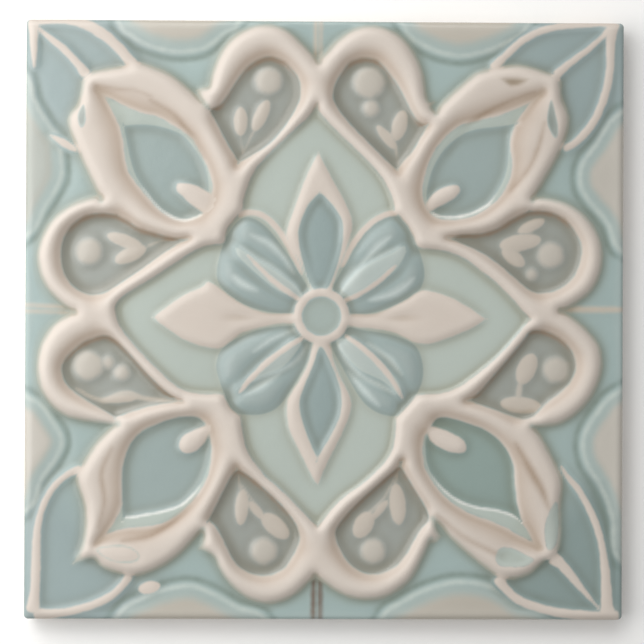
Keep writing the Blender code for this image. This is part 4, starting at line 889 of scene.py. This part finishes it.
# Each glaze over the ground: its depth's name, the depths where it fades in, and its colour
GLAZES = [
    ("mint", -0.35, 0.35, "AFB8B0"),
    ("swell", -0.6, 2.0, "A3AFAA"),
    ("swell", 1.6, 4.6, "B4AEA2"),
    ("pale_swell", 1.6, 4.6, "BCB7AD"),
    ("cool_swell", 1.6, 4.6, "A5A9A1"),
    ("groove_line", 0.1, 1.9, "76877F"),
    ("crest_line", 0.1, 2.0, "C9CFC6"),
    ("pale_seam", -0.8, 0.8, "BDB3A4"),
    ("dark_seam", -0.8, 0.8, "75685C"),
    ("blue", -0.35, 0.35, "96A4A1"),
    ("dark_lens", -0.35, 0.35, "8B9C96"),
    ("heart", 0.3, 1.8, "8F9E9C"),
    ("disc", 0.9, 1.5, "A1ADA7"),
    ("fold", -0.4, 1.0, "ABB5B0"),
    # painted highlights on the corner petals' lobes and folds
    ("highlight_stroke", -0.9, 1.8, "C9D3CF"),
    ("sage", -0.3, 0.4, "999D97"),
    ("sprig", -0.2, 0.8, "B7B1A6"),
    ("sprig_leaf", -0.1, 0.9, "BCB3A7"),
    ("cream", -0.3, 0.45, "C8BDB2"),
    ("upper_window", -0.3, 0.5, "8F9791"),
    ("brown_pocket", -0.2, 1.6, "A09280"),
    # painted shadow under the upper edge of each opening
    ("painted_shadow_edge", 0.2, 1.4, "A18C78"),
    ("frame_foot", 0.2, 1.5, "A6ADA3"),
    ("crease", -1.0, 2.0, "A08C78"),
    # painted highlight along the lenses' lower edges
    ("lens_highlight_bead", 0.3, 1.5, "EFEDE7"),
]
# Thicker glaze and painted shade in hollows and on low slopes: the name of its measure, where it sets in
# and is full, and its tint
THICK_GLAZE_AND_SHADE = [
    ("pool_and_shade", 0.0, 0.6, "F3EFE9"),
    ("fine_pool", 0.0, 0.12, "EAE6E0"),
    ("low_cream_glaze_and_shade", 0.05, 0.6, "EAE2DA"),
]


def glaze_nodes(material):
    material.use_nodes = True
    tree = material.node_tree
    shader = tree.nodes["Principled BSDF"]
    place = add_node(tree, "ShaderNodeTexCoord").outputs["Object"]
    # brushed and sprayed edges wander by a quarter of a millimetre, in waves of 2.4 mm
    wander = add_node(tree, "ShaderNodeTexNoise", [("Vector", place), ("Scale", 420.0), ("Detail", 2.0)])
    wander = add_node(tree, "ShaderNodeMath", [(0, wander.outputs["Fac"]), (1, 0.5), (2, -0.25)],
                      operation="MULTIPLY_ADD").outputs[0]
    # the ground turns from green to grey-blue in the tile's corners
    axes = add_node(tree, "ShaderNodeSeparateXYZ", [(0, place)]).outputs
    aside = add_node(tree, "ShaderNodeMath", [(0, axes["X"])], operation="ABSOLUTE").outputs[0]
    upward = add_node(tree, "ShaderNodeMath", [(0, axes["Y"])], operation="ABSOLUTE").outputs[0]
    towards_corner = add_node(tree, "ShaderNodeMath", [(0, aside), (1, upward)]).outputs[0]
    in_corner = add_node(tree, "ShaderNodeMapRange",
                         [("Value", towards_corner), ("From Min", CORNER_START),
                          ("From Max", CORNER_FULL)])
    colour = add_node(tree, "ShaderNodeMix",
                      [(0, in_corner.outputs[0]), (6, GROUND_GREEN), (7, CORNER_BLUE)],
                      data_type="RGBA").outputs[2]
    # and to darker slate towards the lower right corner
    slant = add_node(tree, "ShaderNodeMath", [(0, axes["X"]), (1, axes["Y"])],
                     operation="SUBTRACT").outputs[0]
    lower_right = add_node(tree, "ShaderNodeMapRange",
                           [("Value", slant), ("From Min", LOWER_RIGHT_START),
                            ("From Max", LOWER_RIGHT_FULL)])
    colour = add_node(tree, "ShaderNodeMix",
                      [(0, lower_right.outputs[0]), (6, colour), (7, CORNER_SLATE)],
                      data_type="RGBA").outputs[2]
    for name, start, full, hex_colour in GLAZES:
        depth = add_node(tree, "ShaderNodeAttribute", attribute_name=name).outputs["Fac"]
        depth = add_node(tree, "ShaderNodeMath", [(0, depth), (1, wander)]).outputs[0]
        cover = add_node(tree, "ShaderNodeMapRange",
                         [("Value", depth), ("From Min", start), ("From Max", full)],
                         interpolation_type="SMOOTHSTEP").outputs[0]
        colour = add_node(tree, "ShaderNodeMix", [(0, cover), (6, colour), (7, linear(hex_colour))],
                          data_type="RGBA").outputs[2]
    # pooled glaze and painted shade make hollows darker and warmer, thin glaze and a painted highlight make
    # a crest paler
    for name, start, full, tint in THICK_GLAZE_AND_SHADE:
        pooled = add_node(tree, "ShaderNodeAttribute", attribute_name=name).outputs["Fac"]
        pooled = add_node(tree, "ShaderNodeMapRange",
                          [("Value", pooled), ("From Min", start), ("From Max", full)]).outputs[0]
        colour = add_node(tree, "ShaderNodeMix", [(0, pooled), (6, colour), (7, linear(tint))],
                          data_type="RGBA", blend_type="MULTIPLY").outputs[2]
    # crests get the pale tint: thin glaze and a painted highlight
    crest = add_node(tree, "ShaderNodeAttribute", attribute_name="pool_and_shade").outputs["Fac"]
    crest = add_node(tree, "ShaderNodeMapRange",
                     [("Value", crest), ("From Min", -0.05), ("From Max", -0.5),
                      ("To Max", 0.14)]).outputs[0]
    colour = add_node(tree, "ShaderNodeMix", [(0, crest), (6, colour), (7, CREST_HIGHLIGHT_TINT)],
                      data_type="RGBA").outputs[2]
    # clouds of thicker and thinner glaze, some 25 mm across
    cloud = add_node(tree, "ShaderNodeTexNoise", [("Vector", place), ("Scale", 40.0), ("Detail", 3.0)])
    cloud = add_node(tree, "ShaderNodeMapRange",
                     [("Value", cloud.outputs["Fac"]), ("To Min", 0.93), ("To Max", 1.07)]).outputs[0]
    colour = add_node(tree, "ShaderNodeVectorMath", [(0, colour), (1, cloud)],
                      operation="MULTIPLY").outputs[0]
    # the glaze stops above the back, where the kiln shelf was, in a line with waves of 6 mm
    line = add_node(tree, "ShaderNodeTexNoise", [("Vector", place), ("Scale", 160.0), ("Detail", 1.0)])
    line = add_node(tree, "ShaderNodeMath", [(0, line.outputs["Fac"]), (1, -0.003), (2, axes["Z"])],
                    operation="MULTIPLY_ADD").outputs[0]
    bare = add_node(tree, "ShaderNodeMapRange",
                    [("Value", line), ("From Min", 0.0009), ("From Max", 0.0005)]).outputs[0]
    colour = add_node(tree, "ShaderNodeMix", [(0, bare), (6, colour), (7, BISCUIT)],
                      data_type="RGBA").outputs[2]
    tree.links.new(colour, shader.inputs["Base Color"])
    # the cream glaze fires satin, the clear ones bright, bare clay is chalky
    satin = add_node(tree, "ShaderNodeAttribute", attribute_name="cream").outputs["Fac"]
    satin = add_node(tree, "ShaderNodeMapRange",
                     [("Value", satin), ("From Min", -0.3), ("From Max", 0.5), ("To Min", 0.25),
                      ("To Max", 0.42)]).outputs[0]
    roughness = add_node(tree, "ShaderNodeMath", [(0, satin), (1, bare)], operation="MAXIMUM").outputs[0]
    tree.links.new(roughness, shader.inputs["Roughness"])
    # orange peel of a fired glaze, with waves about 3 mm long
    peel = add_node(tree, "ShaderNodeTexNoise", [("Vector", place), ("Scale", 320.0), ("Detail", 2.0)])
    relief = add_node(tree, "ShaderNodeBump",
                      [("Strength", 0.25), ("Distance", 0.0002), ("Height", peel.outputs["Fac"])])
    tree.links.new(relief.outputs[0], shader.inputs["Normal"])


glaze_nodes(glaze)

# Body
# The pressed clay behind the face: upright sides under running glaze, and a flat unglazed back, where
# the fired earthenware is bare, chalky and speckled with fine grog.
BISCUIT_SHADE = linear("CCBFAC")
BISCUIT_SPECK = linear("B7A48C")
side_levels = (5.0, 3.6, 2.2, 1.2, back_chamfer)
sharp_degrees = 50
biscuit = bpy.data.materials.new("chalky_earthenware_biscuit")


def biscuit_nodes(material):
    material.use_nodes = True
    tree = material.node_tree
    shader = tree.nodes["Principled BSDF"]
    shader.inputs["Roughness"].default_value = 0.9
    place = add_node(tree, "ShaderNodeTexCoord").outputs["Object"]
    # grains of grog about a millimetre across, and faint clouds of 30 mm
    grog = add_node(tree, "ShaderNodeTexNoise", [("Vector", place), ("Scale", 900.0), ("Detail", 4.0)])
    clouds = add_node(tree, "ShaderNodeTexNoise", [("Vector", place), ("Scale", 30.0), ("Detail", 2.0)])
    mixed = add_node(tree, "ShaderNodeMix", [(0, clouds.outputs["Fac"]), (6, BISCUIT), (7, BISCUIT_SHADE)],
                     data_type="RGBA").outputs[2]
    speck = add_node(tree, "ShaderNodeMapRange",
                     [("Value", grog.outputs["Fac"]), ("From Min", 0.62), ("From Max", 0.72),
                      ("To Max", 0.4)]).outputs[0]
    mixed = add_node(tree, "ShaderNodeMix", [(0, speck), (6, mixed), (7, BISCUIT_SPECK)],
                     data_type="RGBA").outputs[2]
    tree.links.new(mixed, shader.inputs["Base Color"])
    relief = add_node(tree, "ShaderNodeBump",
                      [("Strength", 0.4), ("Distance", 0.0001), ("Height", grog.outputs["Fac"])])
    tree.links.new(relief.outputs[0], shader.inputs["Normal"])


biscuit_nodes(biscuit)


def close_body():
    """Draw the rim of the face down to the back and close it."""
    mesh = face.data
    mesh.materials.clear()
    mesh.materials.append(glaze)
    mesh.materials.append(biscuit)
    body = bmesh.new()
    body.from_mesh(mesh)
    rim = [side for side in body.edges if side.is_boundary]
    for level, draw_in in [(level, 0.0) for level in side_levels] + [(0.0, back_chamfer)]:
        made = bmesh.ops.extrude_edge_only(body, edges=rim)["geom"]
        scale = 1 - draw_in / half_side
        for vert in (item for item in made if isinstance(item, bmesh.types.BMVert)):
            vert.co = (vert.co.x * scale, vert.co.y * scale, level * MM)
        rim = [item for item in made if isinstance(item, bmesh.types.BMEdge)]
    back = bmesh.ops.contextual_create(body, geom=rim)["faces"]
    for face_of_back in back:
        face_of_back.material_index = 1
    bmesh.ops.recalc_face_normals(body, faces=body.faces)
    body.to_mesh(mesh)
    body.free()
    mesh.shade_smooth()
    mesh.set_sharp_from_angle(angle=np.radians(sharp_degrees))


close_body()
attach(face, "root")
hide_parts("tile")

# Studio
# A plain pale floor and soft light: a broad lamp high beyond the tile's top edge, a small one low at its
# left, and a pale sky.
floor_reach = 3.0
floor_gap = 0.0002


def plain_floor():
    """A matt floor just under the tile's back."""
    mesh = bpy.data.meshes.new("floor")
    corners = [(x * floor_reach, y * floor_reach, 0) for x, y in ((-1, -1), (1, -1), (1, 1), (-1, 1))]
    mesh.from_pydata(corners, [], [(0, 1, 2, 3)])
    material = bpy.data.materials.new("pale_floor")
    material.use_nodes = True
    shader = material.node_tree.nodes["Principled BSDF"]
    shader.inputs["Base Color"].default_value = linear("FBFAF8")
    shader.inputs["Roughness"].default_value = 0.9
    mesh.materials.append(material)
    floor_object = bpy.data.objects.new("floor", mesh)
    floor_object.location.z = -floor_gap
    scene.collection.objects.link(floor_object)


plain_floor()


def lamp(name, place, size, power):
    """A square lamp of some size in metres and power in watts, turned to the tile's middle."""
    data = bpy.data.lights.new(name, "AREA")
    data.size = size
    data.energy = power
    light = bpy.data.objects.new(name, data)
    light.location = place
    light.rotation_euler = (-Vector(place)).to_track_quat("-Z", "Y").to_euler()
    scene.collection.objects.link(light)


lamp("key_light", (-0.90, 3.30, 2.80), 2.90, 66.0)
lamp("side_light", (-0.29, 0.10, 0.27), 0.50, 1.9)
world = bpy.data.worlds.new("pale_sky")
world.use_nodes = True
world.node_tree.nodes["Background"].inputs["Color"].default_value = linear("FFFFFF")
world.node_tree.nodes["Background"].inputs["Strength"].default_value = 0.36
scene.world = world
